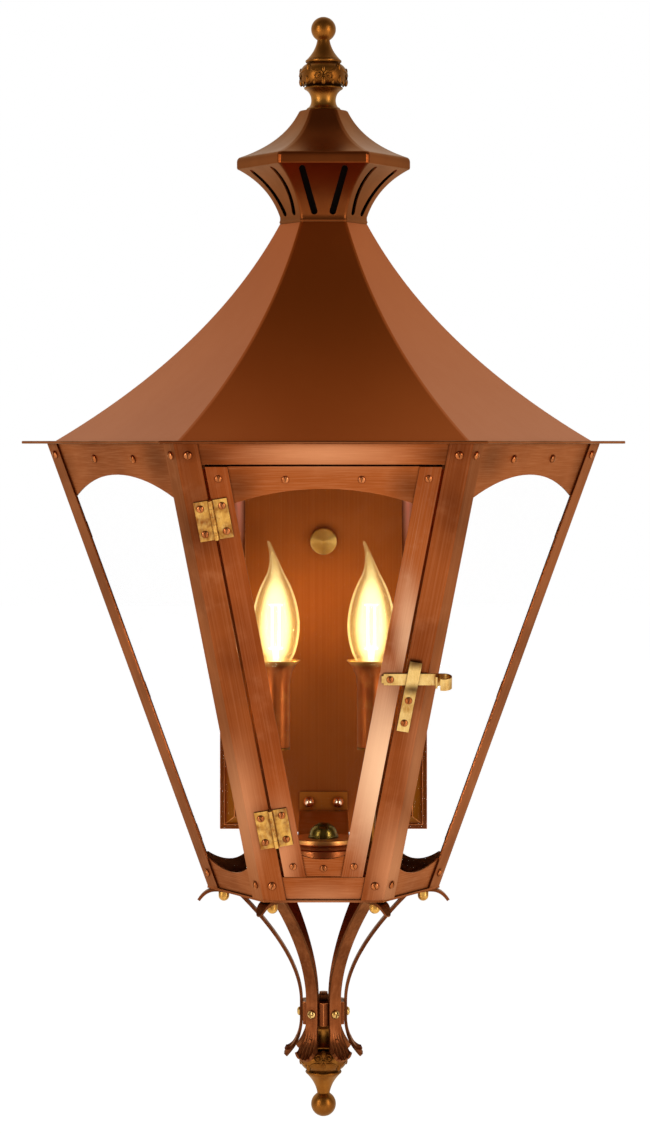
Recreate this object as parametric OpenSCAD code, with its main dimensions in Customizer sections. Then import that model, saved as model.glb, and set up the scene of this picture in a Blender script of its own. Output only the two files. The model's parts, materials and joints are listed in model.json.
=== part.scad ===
// Hexagonal copper wall lantern with a hinged front door, two candle lamps and cast brass finials.
// The origin is the middle of the mounting bar's back face, on the wall. Up is +Z and the front is -Y.
// The lantern's own levels are counted from the eave plate's mid height, on the lantern's axis.

/* [Body] */
// Height of the tapered body below the eaves
body_h = 325; // [290:1:360]
// Corner radius of the body at the eaves
top_r = 203.2; // [190:0.1:212]
// Corner radius of the body at its floor
bottom_r = 85.1; // [78:0.1:95]
// Thickness of the copper sheet
sheet = 1.2; // [0.8:0.1:1.6]
// Width of each flange of a corner post
flange_w = 16; // [13:0.5:17]
// Thickness of the floor plate
floor_t = 1.5; // [1:0.1:2.5]
// Distance from the lantern's axis to the wall
axis_d = 200; // [199:0.5:215]
// Height of the eaves above the middle of the outlet box
eave_h = 78; // [70:1:90]

/* [Bands and rails] */
// Depth of a side face's top band at mid span
top_band_mid = 24.4; // [18:0.2:30]
// Depth of a side face's top band beside the posts
top_band_end = 41.2; // [36:0.2:50]
// Height of a bottom band at mid span
bottom_band_mid = 15.6; // [12:0.2:18]
// Height of a bottom band beside the posts
bottom_band_end = 23; // [20:0.2:28]
// Depth of the front and rear top rails
top_rail_w = 15; // [13:0.2:16]
// Distance of a band's end from the corner
band_set = 3; // [2.5:0.1:4]

/* [Roof] */
// Thickness of the flat eave plate
eave_t = 2; // [1.2:0.1:2.6]
// Overhang of the eave plate's corners beyond the body's
eave_over = 18.2; // [13:0.2:23]
// Radius of the heat vent in the eave plate
eave_vent_r = 38; // [25:1:39]
// Distance of the roof's corners inside the body's
roof_inset = 6.2; // [2:0.2:12]
// Corner radius of the roof at its neck
neck_r = 32.6; // [30:0.2:36]
// Height of the neck above the eaves
neck_z = 159.6; // [140:0.2:180]
// Corner radius of the crown band
crown_r = 64.2; // [58:0.2:70]
// Height of the vent collar
collar_h = 40; // [34:0.2:46]
// Height of the crown band
crown_band_h = 8; // [6:0.2:11]
// Height of the crown cap above its band
crown_cap_h = 35.4; // [30:0.2:42]
// Corner radius of the crown cap's flat top
crown_top_r = 18.4; // [16:0.2:22]
// Width of a vent slot
slot_w = 4; // [2.5:0.1:4.5]
// Distance of the rain liner behind the vent collar's outer face
liner_gap = 3.2; // [2.6:0.1:3.6]

/* [Finials] */
// Radius of a finial's ball
ball_r = 9.1; // [7:0.1:11]
// Radius over a finial's carved ring
carving_r = 18.8; // [17:0.1:21]
// Radius of the threaded studs that hold the finials
stud_r = 3; // [2:0.1:3.5]

/* [Door] */
// Gap round the door
door_gap = 2; // [1.2:0.1:2.6]
// Width of a door stile
stile_w = 15.2; // [13:0.2:17]
// Slope distance from the eaves to the door's top edge
door_top = 17.6; // [17.2:0.1:22]
// Slope distance from the eaves to the door's bottom edge
door_bottom = 322.5; // [321:0.5:323]
// Depth of the door's top panel at mid span
door_arch_mid = 16; // [13:0.2:19]
// Depth of the door's top panel beside the stiles
door_arch_end = 26.4; // [23:0.2:31]
// Height of the door's bottom panel beside the stiles
door_sill_end = 16; // [13:0.2:18]
// Dip of the door's bottom panel at mid span
door_sill_dip = 3; // [1:0.2:4]
// Thickness of the glass
glass_t = 2; // [1.5:0.1:3]

/* [Hinges and latch] */
// Height of a hinge
hinge_h = 28.5; // [22:0.5:34]
// Width of one hinge leaf from the pin to its edge
hinge_leaf_w = 11.5; // [10:0.1:12.5]
// Thickness of a hinge leaf
hinge_leaf_t = 1; // [0.8:0.1:1.4]
// Radius of a hinge barrel
barrel_r = 1.7; // [1.5:0.1:2]
// Radius of a hinge pin
pin_r = 0.9; // [0.7:0.05:1]
// Running clearance round every pivot
pivot_play = 0.06; // [0.03:0.01:0.1]
// Slope distance of the upper hinge below the eaves
upper_hinge = 55.3; // [50:0.5:70]
// Slope distance of the lower hinge below the eaves
lower_hinge = 285; // [265:0.5:290]
// Slope distance of the latch below the eaves
latch_v = 172; // [150:1:200]
// Height of the latch bar
latch_w = 8.5; // [6:0.1:10]
// Thickness of the latch bar and its keeper
latch_t = 1.2; // [1:0.1:1.5]
// Radius of the latch bar's rolled loop
loop_r = 5.8; // [4.5:0.1:7]
// Width of the keeper strap
keeper_w = 8.4; // [6:0.1:10]

/* [Wall plate] */
// Width of the wall plate
plate_w = 165; // [155:1:180]
// Distance of the wall plate's lower edge below the eaves
plate_low = 308; // [300:1:318]
// Distance of the wall plate's upper edge below the eaves
plate_high = 8; // [6:0.5:14]
// Depth of the wall plate from the wall
plate_d = 20; // [18:0.5:21]
// Width of the wall plate's bevel
bevel_w = 12; // [9:0.5:14]
// Width of the back panel
panel_w = 124; // [116:1:132]
// Radius of the turned knob
knob_r = 10.5; // [8:0.1:12]
// Length of the mounting bar
bar_l = 112; // [104:1:125]
// Width of the mounting bar
bar_w = 22; // [16:0.5:26]
// Distance between the two wall screws
screw_pitch = 88.9; // [82:0.1:92]
// Radius of a wall screw hole
wall_hole_r = 2.5; // [2:0.1:3]

/* [Lamps] */
// Distance of a candle from the lantern's axis
candle_x = 35; // [33:0.5:40]
// Radius of a candle sleeve
sleeve_r = 10.5; // [10.2:0.1:12]
// Height of a candle sleeve
sleeve_h = 64; // [55:1:75]
// Distance of a sleeve's flared lip below the eaves
sleeve_top = 159.6; // [150:0.2:175]
// Radius of a sleeve's flared lip
flare_r = 18.2; // [16:0.1:20]
// Radius of the candle cup
cup_r = 24.6; // [22:0.2:26]
// Distance of the candle cup's top below the eaves
cup_top = 289.5; // [285:0.5:292]
// Radius of a candle arm
arm_r = 3; // [2.5:0.1:3.5]
// Widest radius of a lamp's glass
bulb_r = 17.5; // [14:0.1:18]

/* [Foot] */
// Width of a leg strap
leg_w = 9.5; // [8:0.1:11]
// Thickness of a leg strap
leg_t = 2.2; // [1.6:0.1:2.8]
// Width of the fan at a leg's lower end
fan_w = 15; // [12:0.5:16]
// Distance from the axis to the hub's flats
hub_a = 15.1; // [13:0.1:17]
// Level of the hub's top below the eaves
hub_top = 408.5; // [400:0.5:415]
// Height of the hub
hub_h = 16.5; // [14:0.5:20]
// Distance of the leg bolts inside the floor's corners
leg_bolt_inset = 12.1; // [10.1:0.1:14.1]

/* [Hidden] */
$fn = 48;
copper = [0.62, 0.33, 0.2];
dark_copper = [0.42, 0.21, 0.12];
brass = [0.78, 0.62, 0.3];
old_brass = [0.55, 0.38, 0.14];
faces = 6;
side_faces = [1, 2, 4, 5];
rear_face = 3;
face_turn = 360 / faces;
hex_c = cos(face_turn / 2);
tilt = atan(hex_c * (top_r - bottom_r) / body_h);
slant_h = body_h / cos(tilt);
edge_taper = (top_r - bottom_r) / 2 / slant_h;
edge_angle = atan(edge_taper);
face_a = top_r * hex_c;
eave_low = -eave_t / 2;
eave_high = eave_t / 2;
eave_r = top_r + eave_over;
roof_r = top_r - roof_inset;
far = 260;
fit = 0.1;
seat = 0.3;
curve_steps = 10;
screw_head_r = 3;
screw_head_h = 1.7;
screw_shank_r = 1.4;
small_head_r = 2.6;
small_head_h = 1.3;
small_shank_r = 1.2;
slot_t = 0.6;
crown_z = neck_z + collar_h;
crown_band_top = crown_z + crown_band_h;
crown_top = crown_band_top + crown_cap_h;
lip_r = crown_r - sheet / hex_c;
hub_low = -hub_top - hub_h;
hinge_n = barrel_r + fit;
hinge_edge = flange_w + door_gap / 2;
door_edge = flange_w + door_gap;
floor_top = -body_h;
nut_h = 4;
nut_r = 5;

// Half width of a face at slope distance v above the eave plane
function half_w(v) = top_r / 2 + edge_taper * v;

// Slope distance of a height on a face
function slope_at(z) = z / cos(tilt);

// Point of a quadratic curve with three control points
function curve_point(p, t) = (1 - t) * (1 - t) * p[0] + 2 * t * (1 - t) * p[1] + t * t * p[2];

// A quadratic curve as a list of points
function curve(p, n = curve_steps) = [for (i = [0:n]) curve_point(p, i / n)];

// Direction across a path at one of its points
function across(p, i) =
    let (d = p[min(i + 1, len(p) - 1)] - p[max(i - 1, 0)])
    [-d[1], d[0]] / norm(d);

// A path moved sideways by t
function beside(p, t) = [for (i = [0:len(p) - 1]) p[i] + t * across(p, i)];

// A curve without its first point, to follow another that ends there
function curve_on(p, n = curve_steps) = [for (i = [1:n]) curve_point(p, i / n)];

// The points of a list in reverse order
function reversed(p) = [for (i = [len(p) - 1:-1:0]) p[i]];

// Outline of a strip of thickness t centred on a path
function strip_outline(p, t) = concat(beside(p, t / 2), reversed(beside(p, -t / 2)));

// A profile given by corner radii, as distances to the flat faces
function to_flats(p) = [for (q = p) [q[0] * hex_c, q[1]]];

module lantern_frame() {
    translate([0, -axis_d, eave_h]) children();
}

module on_face(k) {
    rotate([0, 0, face_turn * k]) translate([0, -face_a, 0]) rotate([90 + tilt, 0, 0]) children();
}

// One of the six wedges round the axis, between two levels
module sector(k, low, high) {
    reach = 2 * far;
    rotate([0, 0, face_turn * k])
        translate([0, 0, low])
        linear_extrude(high - low)
        polygon([[0, 0], [-reach * tan(face_turn / 2), -reach], [reach * tan(face_turn / 2), -reach]]);
}

// A sheet on a face between two depths, mitred at the corners and cut level at the eaves and the floor
module layer(k, outer, inner) {
    intersection() {
        on_face(k) translate([0, 0, -inner]) linear_extrude(inner - outer) children();
        sector(k, floor_top, eave_low);
    }
}

// Strip beside one edge of a face
module edge_strip(side, near, away, low, high) {
    polygon([
        [side * (half_w(low) - near), low],
        [side * (half_w(low) - away), low],
        [side * (half_w(high) - away), high],
        [side * (half_w(high) - near), high]
    ]);
}

// Full width of a face less a margin at both ends
module span(margin, low, high) {
    polygon([
        [-half_w(low) + margin, low],
        [half_w(low) - margin, low],
        [half_w(high) - margin, high],
        [-half_w(high) + margin, high]
    ]);
}

// Circle through a crown point and two lower points at half_span
module arch_circle(half_span, rise) {
    radius = (half_span * half_span + rise * rise) / (2 * rise);
    translate([0, -radius]) circle(radius, $fn = 180);
}

// Hexagonal solid from one side's outline, a list of flat distances and heights from the foot up
module hex_solid(outline) {
    other_side = [for (q = reversed(outline)) [-q[0], q[1]]];
    intersection_for (k = [0:faces / 2 - 1])
        rotate([0, 0, face_turn * k])
            rotate([90, 0, 90])
            linear_extrude(2 * far, center = true)
            polygon(concat(outline, other_side));
}

module hex_plate(r, low, high) {
    translate([0, 0, low]) cylinder(r = r, h = high - low, $fn = faces);
}

// Round-headed slotted screw, its head standing on z = 0
module round_screw(head_r, head_h, shank_r, shank_l) {
    ball = (head_r * head_r + head_h * head_h) / (2 * head_h);
    difference() {
        intersection() {
            translate([0, 0, head_h - ball]) sphere(ball);
            cylinder(r = head_r, h = head_h);
        }
        translate([-head_r, -slot_t / 2, head_h - slot_t]) cube([2 * head_r, slot_t, slot_t]);
    }
    translate([0, 0, -shank_l]) cylinder(r = shank_r, h = shank_l + slot_t / 2);
}

module hex_nut(r, h, bore) {
    difference() {
        cylinder(r = r, h = h, $fn = 6);
        translate([0, 0, -1]) cylinder(r = bore, h = h + 2);
    }
}

// Places of the screws in the flanges of one face: two at the top and two at the bottom
flange_screw_v = [slope_at(-8.9), slope_at(-body_h + 10.6)];
band_screw_v = slope_at(-12);
band_screw_share = 0.31;

module at_flange_screws(k, sides = [-1, 1]) {
    for (v = flange_screw_v, side = sides)
        on_face(k) translate([side * (half_w(v) - flange_w / 2), v, 0]) children();
}

module at_band_screws(k) {
    for (side = [-1, 1])
        on_face(k) translate([side * band_screw_share * half_w(band_screw_v), band_screw_v, -sheet]) children();
}

module screw_hole() {
    translate([0, 0, -8]) cylinder(r = screw_shank_r + fit, h = 16);
}

module small_hole() {
    translate([0, 0, -4]) cylinder(r = small_shank_r + pivot_play, h = 8);
}

// Wall plate and what holds the lantern to the wall
plate_mid = -(plate_low + plate_high) / 2;
plate_h = plate_low - plate_high;
plate_lip = 3;
plate_front = axis_d - plate_d;
panel_front = plate_front - sheet;
panel_flange = 9;
bracket_w = 37.8;
bracket_t = 1.5;
bracket_tab_low = -cup_top - sheet - bracket_t;
bracket_tab_high = -276;
bracket_front = -10;
bracket_bolt_x = 11.6;
bracket_bolt_z = -284;
bracket_bolt_r = 2;
knob_bore = 6;

// A straight bevelled block: its outline at the wall, its bevel and its depth
module bevelled_block(w, h, bevel, depth) {
    intersection() {
        linear_extrude(h, center = true)
            polygon([[-w / 2, 0], [w / 2, 0], [w / 2 - bevel, -depth], [-w / 2 + bevel, -depth]]);
        rotate([90, 0, 90])
            linear_extrude(w, center = true)
            polygon([[0, -h / 2], [0, h / 2], [-depth, h / 2 - bevel], [-depth, -h / 2 + bevel]]);
    }
}

module mounting_bar() {
    color("silver") difference() {
        union() {
            translate([-bar_l / 2, -2, -bar_w / 2]) cube([bar_l, 2, bar_w]);
            rotate([90, 0, 0]) cylinder(r = wall_hole_r, h = plate_d + sheet + knob_bore - seat);
        }
        for (side = [-1, 1])
            translate([side * screw_pitch / 2, 1, 0]) rotate([90, 0, 0]) cylinder(r = wall_hole_r, h = 4);
    }
}

module wall_plate() {
    color(copper) lantern_frame() difference() {
        translate([0, axis_d, plate_mid]) union() {
            difference() {
                bevelled_block(plate_w - 2 * plate_lip, plate_h - 2 * plate_lip, bevel_w - plate_lip, plate_d);
                translate([0, sheet / 2, 0]) bevelled_block(
                    plate_w - 2 * plate_lip - 2 * sheet,
                    plate_h - 2 * plate_lip - 2 * sheet,
                    bevel_w - plate_lip,
                    plate_d - sheet / 2
                );
            }
            difference() {
                translate([-plate_w / 2, -sheet, -plate_h / 2]) cube([plate_w, sheet, plate_h]);
                translate([-plate_w / 2 + plate_lip + sheet, -sheet - 1, -plate_h / 2 + plate_lip + sheet])
                    cube([plate_w - 2 * plate_lip - 2 * sheet, sheet + 2, plate_h - 2 * plate_lip - 2 * sheet]);
            }
        }
        translate([0, axis_d, -eave_h]) rotate([90, 0, 0]) cylinder(r = wall_hole_r + fit, h = 2 * plate_d);
        bracket_bolt_holes();
    }
}

module bracket_bolt_holes() {
    for (side = [-1, 1])
        translate([side * bracket_bolt_x, axis_d - 5, bracket_bolt_z])
            rotate([90, 0, 0])
            cylinder(r = bracket_bolt_r + fit, h = 2 * plate_d);
}

module back_panel() {
    color(copper) lantern_frame() difference() {
        union() {
            translate([-panel_w / 2, panel_front, -plate_low])
                cube([panel_w, sheet, plate_low + eave_low]);
            translate([-panel_w / 2, panel_front, eave_low - sheet])
                cube([panel_w, panel_flange, sheet]);
        }
        translate([0, axis_d, -eave_h]) rotate([90, 0, 0]) cylinder(r = wall_hole_r + fit, h = 2 * plate_d);
        bracket_bolt_holes();
    }
}

module mounting_knob() {
    rim_z = 10.4;
    groove_r = knob_r * 0.68;
    dome_r = knob_r * 0.6;
    color(brass) lantern_frame()
        translate([0, panel_front, -eave_h])
        rotate([90, 0, 0])
        difference() {
            rotate_extrude() polygon(concat(
                [[0, 0], [knob_r * 0.62, 0], [knob_r * 0.62, 2]],
                curve_on([[knob_r * 0.62, 2], [knob_r * 0.5, 4.5], [knob_r, 6.5]], 5),
                curve([[knob_r, 8.2], [knob_r, rim_z], [knob_r * 0.78, rim_z]], 6),
                [[groove_r, rim_z - 0.7]],
                curve([[dome_r, rim_z - 0.4], [knob_r * 0.36, rim_z + 1.2], [0, rim_z + 1.3]], 5)
            ));
            translate([0, 0, -1]) cylinder(r = wall_hole_r + fit / 2, h = knob_bore + 1);
        }
}

module support_bracket() {
    color(copper) lantern_frame() difference() {
        union() {
            translate([-bracket_w / 2, panel_front - bracket_t, bracket_tab_low])
                cube([bracket_w, bracket_t, bracket_tab_high - bracket_tab_low]);
            translate([-bracket_w / 2, bracket_front, bracket_tab_low])
                cube([bracket_w, panel_front - bracket_front, bracket_t]);
        }
        bracket_bolt_holes();
        translate([0, 0, -cup_top - 10]) cylinder(r = stud_r + fit, h = 20);
    }
}

module bracket_bolts() {
    dome_r = 4.25;
    dome_base = 1.4;
    head_h = 2.5;
    grip = bracket_t + 2 * sheet;
    color(brass) lantern_frame() for (side = [-1, 1])
        translate([side * bracket_bolt_x, panel_front - bracket_t, bracket_bolt_z]) rotate([90, 0, 0]) {
            intersection() {
                translate([0, 0, dome_base]) sphere(dome_r);
                cylinder(r = dome_r, h = 2 * dome_r);
            }
            translate([0, 0, -grip - head_h]) cylinder(r = bracket_bolt_r, h = grip + head_h + dome_base);
            translate([0, 0, -grip - head_h]) cylinder(r = dome_r, h = head_h, $fn = 6);
        }
}

// Roof, vent collar and crown
module eave_plate() {
    color(copper) lantern_frame() difference() {
        hex_plate(eave_r, eave_low, eave_high);
        translate([0, 0, -5]) cylinder(r = eave_vent_r, h = 10, $fn = 96);
    }
}

roof_curve = to_flats([[roof_r, eave_high], [roof_r * 0.414, neck_z * 0.435], [neck_r, neck_z]]);
neck_flange = 6.5;
roof_steps = 12;

module roof() {
    outer = curve(roof_curve, roof_steps);
    inner = beside(outer, sheet);
    under = concat([for (i = [0:roof_steps - 1]) inner[i]], [[neck_r * hex_c - sheet, neck_z - sheet]]);
    color(copper) lantern_frame() difference() {
        hex_solid(outer);
        hex_solid(under);
        hex_plate(neck_r - neck_flange, neck_z - 5, neck_z + 5);
    }
}

collar_foot_r = neck_r - 1.4;
collar_curve = to_flats([[collar_foot_r, neck_z], [38, neck_z + collar_h * 0.67], [lip_r, crown_z]]);
collar_lip = 5;

module vent_slots() {
    low = [6.7, neck_z + 7.4];
    high = [15.3, crown_z - 3];
    slot_l = norm(high - low);
    for (k = [0:faces - 1], side = [0, 1])
        rotate([0, 0, face_turn * k]) mirror([side, 0, 0]) rotate([90, 0, 0])
            translate([low[0], low[1], 12]) rotate([0, 0, -atan((high[0] - low[0]) / (high[1] - low[1]))]) {
                translate([-slot_w / 2, 0, 0]) cube([slot_w, slot_l, 60]);
                cylinder(r = slot_w / 2, h = 60);
                translate([0, slot_l, 0]) cylinder(r = slot_w / 2, h = 60);
            }
}

module vent_collar() {
    outer = curve(collar_curve);
    inner = beside(outer, sheet);
    lip_a = lip_r * hex_c;
    lip_z = crown_z + collar_lip;
    color(copper) lantern_frame() difference() {
        hex_solid(concat(outer, [[lip_a, lip_z]]));
        hex_solid(concat([[inner[0][0] - 0.3, neck_z - 1]], inner, [[lip_a - sheet, lip_z + 1]]));
        vent_slots();
    }
}

// Dark liner behind the slots, which keeps rain out and stands on the roof's neck
module vent_liner() {
    liner_t = 0.8;
    shifted = beside(curve(collar_curve), liner_gap);
    outer = concat([[shifted[0][0], neck_z]], [for (i = [1:curve_steps - 1]) shifted[i]]);
    inner = [for (i = [1:curve_steps - 1]) beside(shifted, liner_t)[i]];
    top = outer[len(outer) - 1];
    color([0.08, 0.08, 0.09]) lantern_frame() difference() {
        hex_solid(outer);
        hex_solid(concat([[shifted[0][0] - liner_t, neck_z - 1]], inner, [[top[0] - liner_t, top[1] + 1]]));
    }
}

cap_curve = to_flats([[crown_r - 1.4, crown_band_top + 0.8], [30, crown_band_top + 11.6],
    [crown_top_r, crown_top - 0.7]]);

module crown_cap() {
    outer = curve(cap_curve);
    inner = beside(outer, sheet);
    band_a = crown_r * hex_c;
    top_a = crown_top_r * hex_c - 1.2;
    color(copper) lantern_frame() difference() {
        hex_solid(concat([[band_a, crown_z], [band_a, crown_band_top - 0.6]], outer, [[top_a, crown_top]]));
        hex_solid(concat(
            [[band_a - sheet, crown_z - 1], [band_a - sheet, crown_band_top - 1.2]],
            [for (i = [0:curve_steps - 1]) inner[i]],
            [[top_a - 0.5, crown_top - sheet]]
        ));
        translate([0, 0, crown_top - 5]) cylinder(r = stud_r + fit, h = 10);
    }
}

// Cast finials: both are the same casting, one upright and one hanging
carving_lobes = 8;

module finial() {
    neck_z1 = 7.5;
    collar_z = 17;
    carve_low = 18.5;
    carve_high = 34;
    cone_low = 37.5;
    ball_z = 59.7;
    profile = concat(
        [[0, 0], [12.4, 0], [12.4, 1.8]],
        curve([[10.4, 2.6], [9, 5], [9, neck_z1]], 4),
        curve([[9, neck_z1], [9.2, 13], [14.2, 15.6]], 5),
        [[14.2, collar_z], [13, carve_low]],
        curve([[15.4, carve_low], [carving_r - 0.8, carve_low + 1], [carving_r - 1.6, carve_low + 6]], 4),
        curve([[carving_r - 1.6, carve_low + 8], [carving_r - 2, carve_high - 3], [12.6, carve_high]], 5),
        [[13.3, carve_high + 1.2], [13.3, carve_high + 2.6], [12.4, cone_low]],
        curve([[12.2, cone_low], [5.8, 44], [4.8, 52]], 8),
        [[4.8, ball_z - 4], [0, ball_z - 4]]
    );
    difference() {
        union() {
            rotate_extrude() polygon(profile);
            translate([0, 0, ball_z]) sphere(ball_r);
            for (i = [0:carving_lobes - 1])
                rotate([0, 0, 360 / carving_lobes * (i + 0.5)])
                    translate([carving_r - 5.2, 0, (carve_low + carve_high) / 2 - 1])
                    sphere(5.2);
        }
        translate([0, 0, -1]) cylinder(r = stud_r + fit, h = 15);
    }
}

module top_finial() {
    color(old_brass) lantern_frame() translate([0, 0, crown_top]) finial();
}

module bottom_finial() {
    color(old_brass) lantern_frame() translate([0, 0, hub_low]) mirror([0, 0, 1]) finial();
}

module finial_studs() {
    color(brass) lantern_frame() {
        translate([0, 0, crown_top - sheet - nut_h - 2]) cylinder(r = stud_r, h = nut_h + sheet + 14);
        translate([0, 0, crown_top - sheet - nut_h]) hex_nut(nut_r, nut_h, stud_r);
        translate([0, 0, hub_low - 12]) cylinder(r = stud_r, h = hub_h + nut_h + 14);
        translate([0, 0, -hub_top]) hex_nut(nut_r, nut_h, stud_r);
    }
}

// Frame of the body
function flat_at(z) = face_a + z * tan(tilt);

// The body's skin as one bent sheet, from the floor to the eaves
module body_skin() {
    inset = sheet / cos(tilt);
    difference() {
        hex_solid([[flat_at(floor_top), floor_top], [flat_at(eave_low), eave_low]]);
        hex_solid([
            [flat_at(floor_top - 1) - inset, floor_top - 1],
            [flat_at(eave_low + 1) - inset, eave_low + 1]
        ]);
    }
}

// Space that a post's flange takes on one face, reaching past the corner
module flange_zone(k, side) {
    low = slope_at(floor_top) - 8;
    on_face(k) translate([0, 0, -2 * sheet]) linear_extrude(3 * sheet) edge_strip(side, -6, flange_w, low, 8);
}

module corner_post(k) {
    color(copper) lantern_frame() difference() {
        intersection() {
            body_skin();
            union() {
                flange_zone(k, 1);
                flange_zone(k + 1, -1);
            }
        }
        at_flange_screws(k, [1]) screw_hole();
        at_flange_screws(k + 1, [-1]) screw_hole();
        if (k == 5) at_hinges() hinge_screw_places(-1) small_hole();
        if (k == 0) at_latch_post() keeper_screw_places() small_hole();
    }
}

module top_band(k) {
    low = -top_band_end - 3;
    half_span = half_w(-top_band_end) - flange_w;
    difference() {
        layer(k, sheet, 2 * sheet) difference() {
            span(band_set, low, 8);
            translate([0, -top_band_mid]) arch_circle(half_span, top_band_end - top_band_mid);
        }
        at_flange_screws(k) screw_hole();
        at_band_screws(k) screw_hole();
    }
}

module bottom_band(k) {
    low = slope_at(floor_top);
    top = low + bottom_band_end;
    half_span = half_w(top) - flange_w;
    difference() {
        layer(k, sheet, 2 * sheet) difference() {
            span(band_set, low - 3, top + 1.5);
            translate([0, low + bottom_band_mid])
                mirror([0, 1])
                arch_circle(half_span, bottom_band_end - bottom_band_mid);
        }
        at_flange_screws(k) screw_hole();
    }
}

module top_bands() {
    color(copper) lantern_frame() for (k = side_faces) top_band(k);
}

module bottom_bands() {
    color(copper) lantern_frame() for (k = concat(side_faces, [rear_face])) bottom_band(k);
}

rail_lip = 5;

// Straight top rail of a face, with its lower edge turned in
module straight_top_rail(k) {
    low = -top_rail_w - 1.2;
    difference() {
        union() {
            layer(k, sheet, 2 * sheet) span(band_set, low, 8);
            layer(k, 1.5 * sheet, 2 * sheet + rail_lip) span(2 * band_set, low, low + sheet);
        }
        at_flange_screws(k) screw_hole();
    }
}

module front_top_rail() {
    color(copper) lantern_frame() straight_top_rail(0);
}

module rear_top_rail() {
    color(copper) lantern_frame() straight_top_rail(rear_face);
}

module front_bottom_rail() {
    color(copper) lantern_frame() difference() {
        layer(0, sheet, 2 * sheet) span(band_set, slope_at(floor_top) - 3, -door_bottom - 1);
        at_flange_screws(0) screw_hole();
    }
}

module frame_screws() {
    grip = 2 * sheet + 1.4;
    color(copper) lantern_frame() {
        for (k = [0:faces - 1])
            at_flange_screws(k) rotate([0, 0, 40 * k]) round_screw(screw_head_r, screw_head_h, screw_shank_r, grip);
        for (k = side_faces)
            at_band_screws(k) rotate([0, 0, 70]) round_screw(screw_head_r, screw_head_h, screw_shank_r, grip);
    }
}

// Glazing
pane_edge = 5;
glass_back = 2 * sheet + glass_t;

module side_glass() {
    color([0.8, 0.9, 0.92, 0.3]) lantern_frame() for (k = side_faces)
        difference() {
            layer(k, 2 * sheet, glass_back) span(pane_edge, slope_at(floor_top) - 3, -4);
            at_flange_screws(k) translate([0, 0, -8]) cylinder(r = 3, h = 16);
            at_band_screws(k) translate([0, 0, -8]) cylinder(r = 3, h = 16);
        }
}

clip_t = 0.8;
clip_shares = [0.2, 0.56, 0.88];

// Bent clip over a pane's edge, on the back of a post's flange
module glass_clip(k, side, v) {
    clip_l = 12;
    intersection() {
        union() {
            layer(k, sheet, sheet + clip_t) edge_strip(side, 2, pane_edge - 0.2, -v - clip_l / 2, -v + clip_l / 2);
            layer(k, sheet, glass_back + clip_t)
                edge_strip(side, pane_edge - 0.2 - clip_t, pane_edge - 0.2, -v - clip_l / 2, -v + clip_l / 2);
            layer(k, glass_back, glass_back + clip_t)
                edge_strip(side, pane_edge - 0.2 - clip_t, pane_edge + 4, -v - clip_l / 2, -v + clip_l / 2);
        }
        sector(k, floor_top, eave_low);
    }
}

module glass_clips() {
    color(copper) lantern_frame() for (k = side_faces, side = [-1, 1], share = clip_shares)
        glass_clip(k, side, slant_h * share);
}

// Floor, legs and hub
floor_hole_r = 20;

module floor_plate() {
    color(copper) lantern_frame() difference() {
        hex_plate(bottom_r, floor_top - floor_t, floor_top);
        translate([0, 0, 2 * floor_top]) cylinder(r = floor_hole_r, h = -2 * floor_top);
        for (k = [0:faces - 1])
            rotate([0, 0, face_turn * k])
                translate([leg_bolt_r, 0, 2 * floor_top])
                cylinder(r = bolt_r + fit, h = -2 * floor_top);
    }
}

bolt_r = 2;
leg_bolt_r = bottom_r - leg_bolt_inset;
leg_flat_z = floor_top - floor_t - leg_t / 2;
leg_mid_r = hub_a + leg_t / 2;
leg_bend = [
    [leg_bolt_r - 7, leg_flat_z],
    [leg_bolt_r - 9.2, leg_flat_z],
    [leg_bolt_r - 13.5, leg_flat_z - 4.4]
];
leg_path = concat(
    curve([[leg_bolt_r + 18.5, leg_flat_z - 8], [leg_bolt_r + 13.5, leg_flat_z], [leg_bolt_r + 6, leg_flat_z]], 5),
    curve(leg_bend, 4),
    curve_on([leg_bend[2], [leg_mid_r, -hub_top + 32.5], [leg_mid_r, -hub_top]], 12),
    curve([[leg_mid_r, hub_low + 4], [leg_mid_r, hub_low - 12], [leg_mid_r + 11.7, hub_low - 24.4]], 8)
);
hub_screw_z = -hub_top - hub_h / 2;
fan_low = hub_low - 18.5;
leg_tip_r = leg_bolt_r + 13.5;
lobe_r = 2;
lobe_turn = 36;

module leg(k) {
    color(copper) lantern_frame() rotate([0, 0, face_turn * (k - 1)]) difference() {
        intersection() {
            rotate([90, 0, 0]) linear_extrude(fan_w, center = true) polygon(strip_outline(leg_path, leg_t));
            union() {
                rotate([90, 0, 90]) linear_extrude(leg_tip_r) polygon([
                    [-leg_w / 2, 0], [leg_w / 2, 0], [leg_w / 2, hub_low - 6],
                    [fan_w / 2, fan_low], [-fan_w / 2, fan_low], [-leg_w / 2, hub_low - 6]
                ]);
                translate([0, 0, fan_low]) rotate([0, 90, 0]) fan_edge();
                translate([leg_tip_r, 0, floor_top - 30]) cylinder(r = leg_w / 2, h = 30);
            }
        }
        translate([leg_bolt_r, 0, floor_top - 20]) cylinder(r = bolt_r + fit, h = 40);
        translate([0, 0, hub_screw_z]) rotate([0, 90, 0]) cylinder(r = screw_shank_r + fit, h = 40);
    }
}

// Scalloped lower edge of a leg's fan, as a column with one lobe for each rib
module fan_edge() {
    cylinder(r = fan_w / 2 - lobe_r / 2, h = leg_tip_r);
    for (i = [-2:2])
        rotate([0, 0, i * lobe_turn])
            translate([fan_w / 2 - lobe_r, 0, 0])
            cylinder(r = lobe_r, h = leg_tip_r);
}

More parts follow.
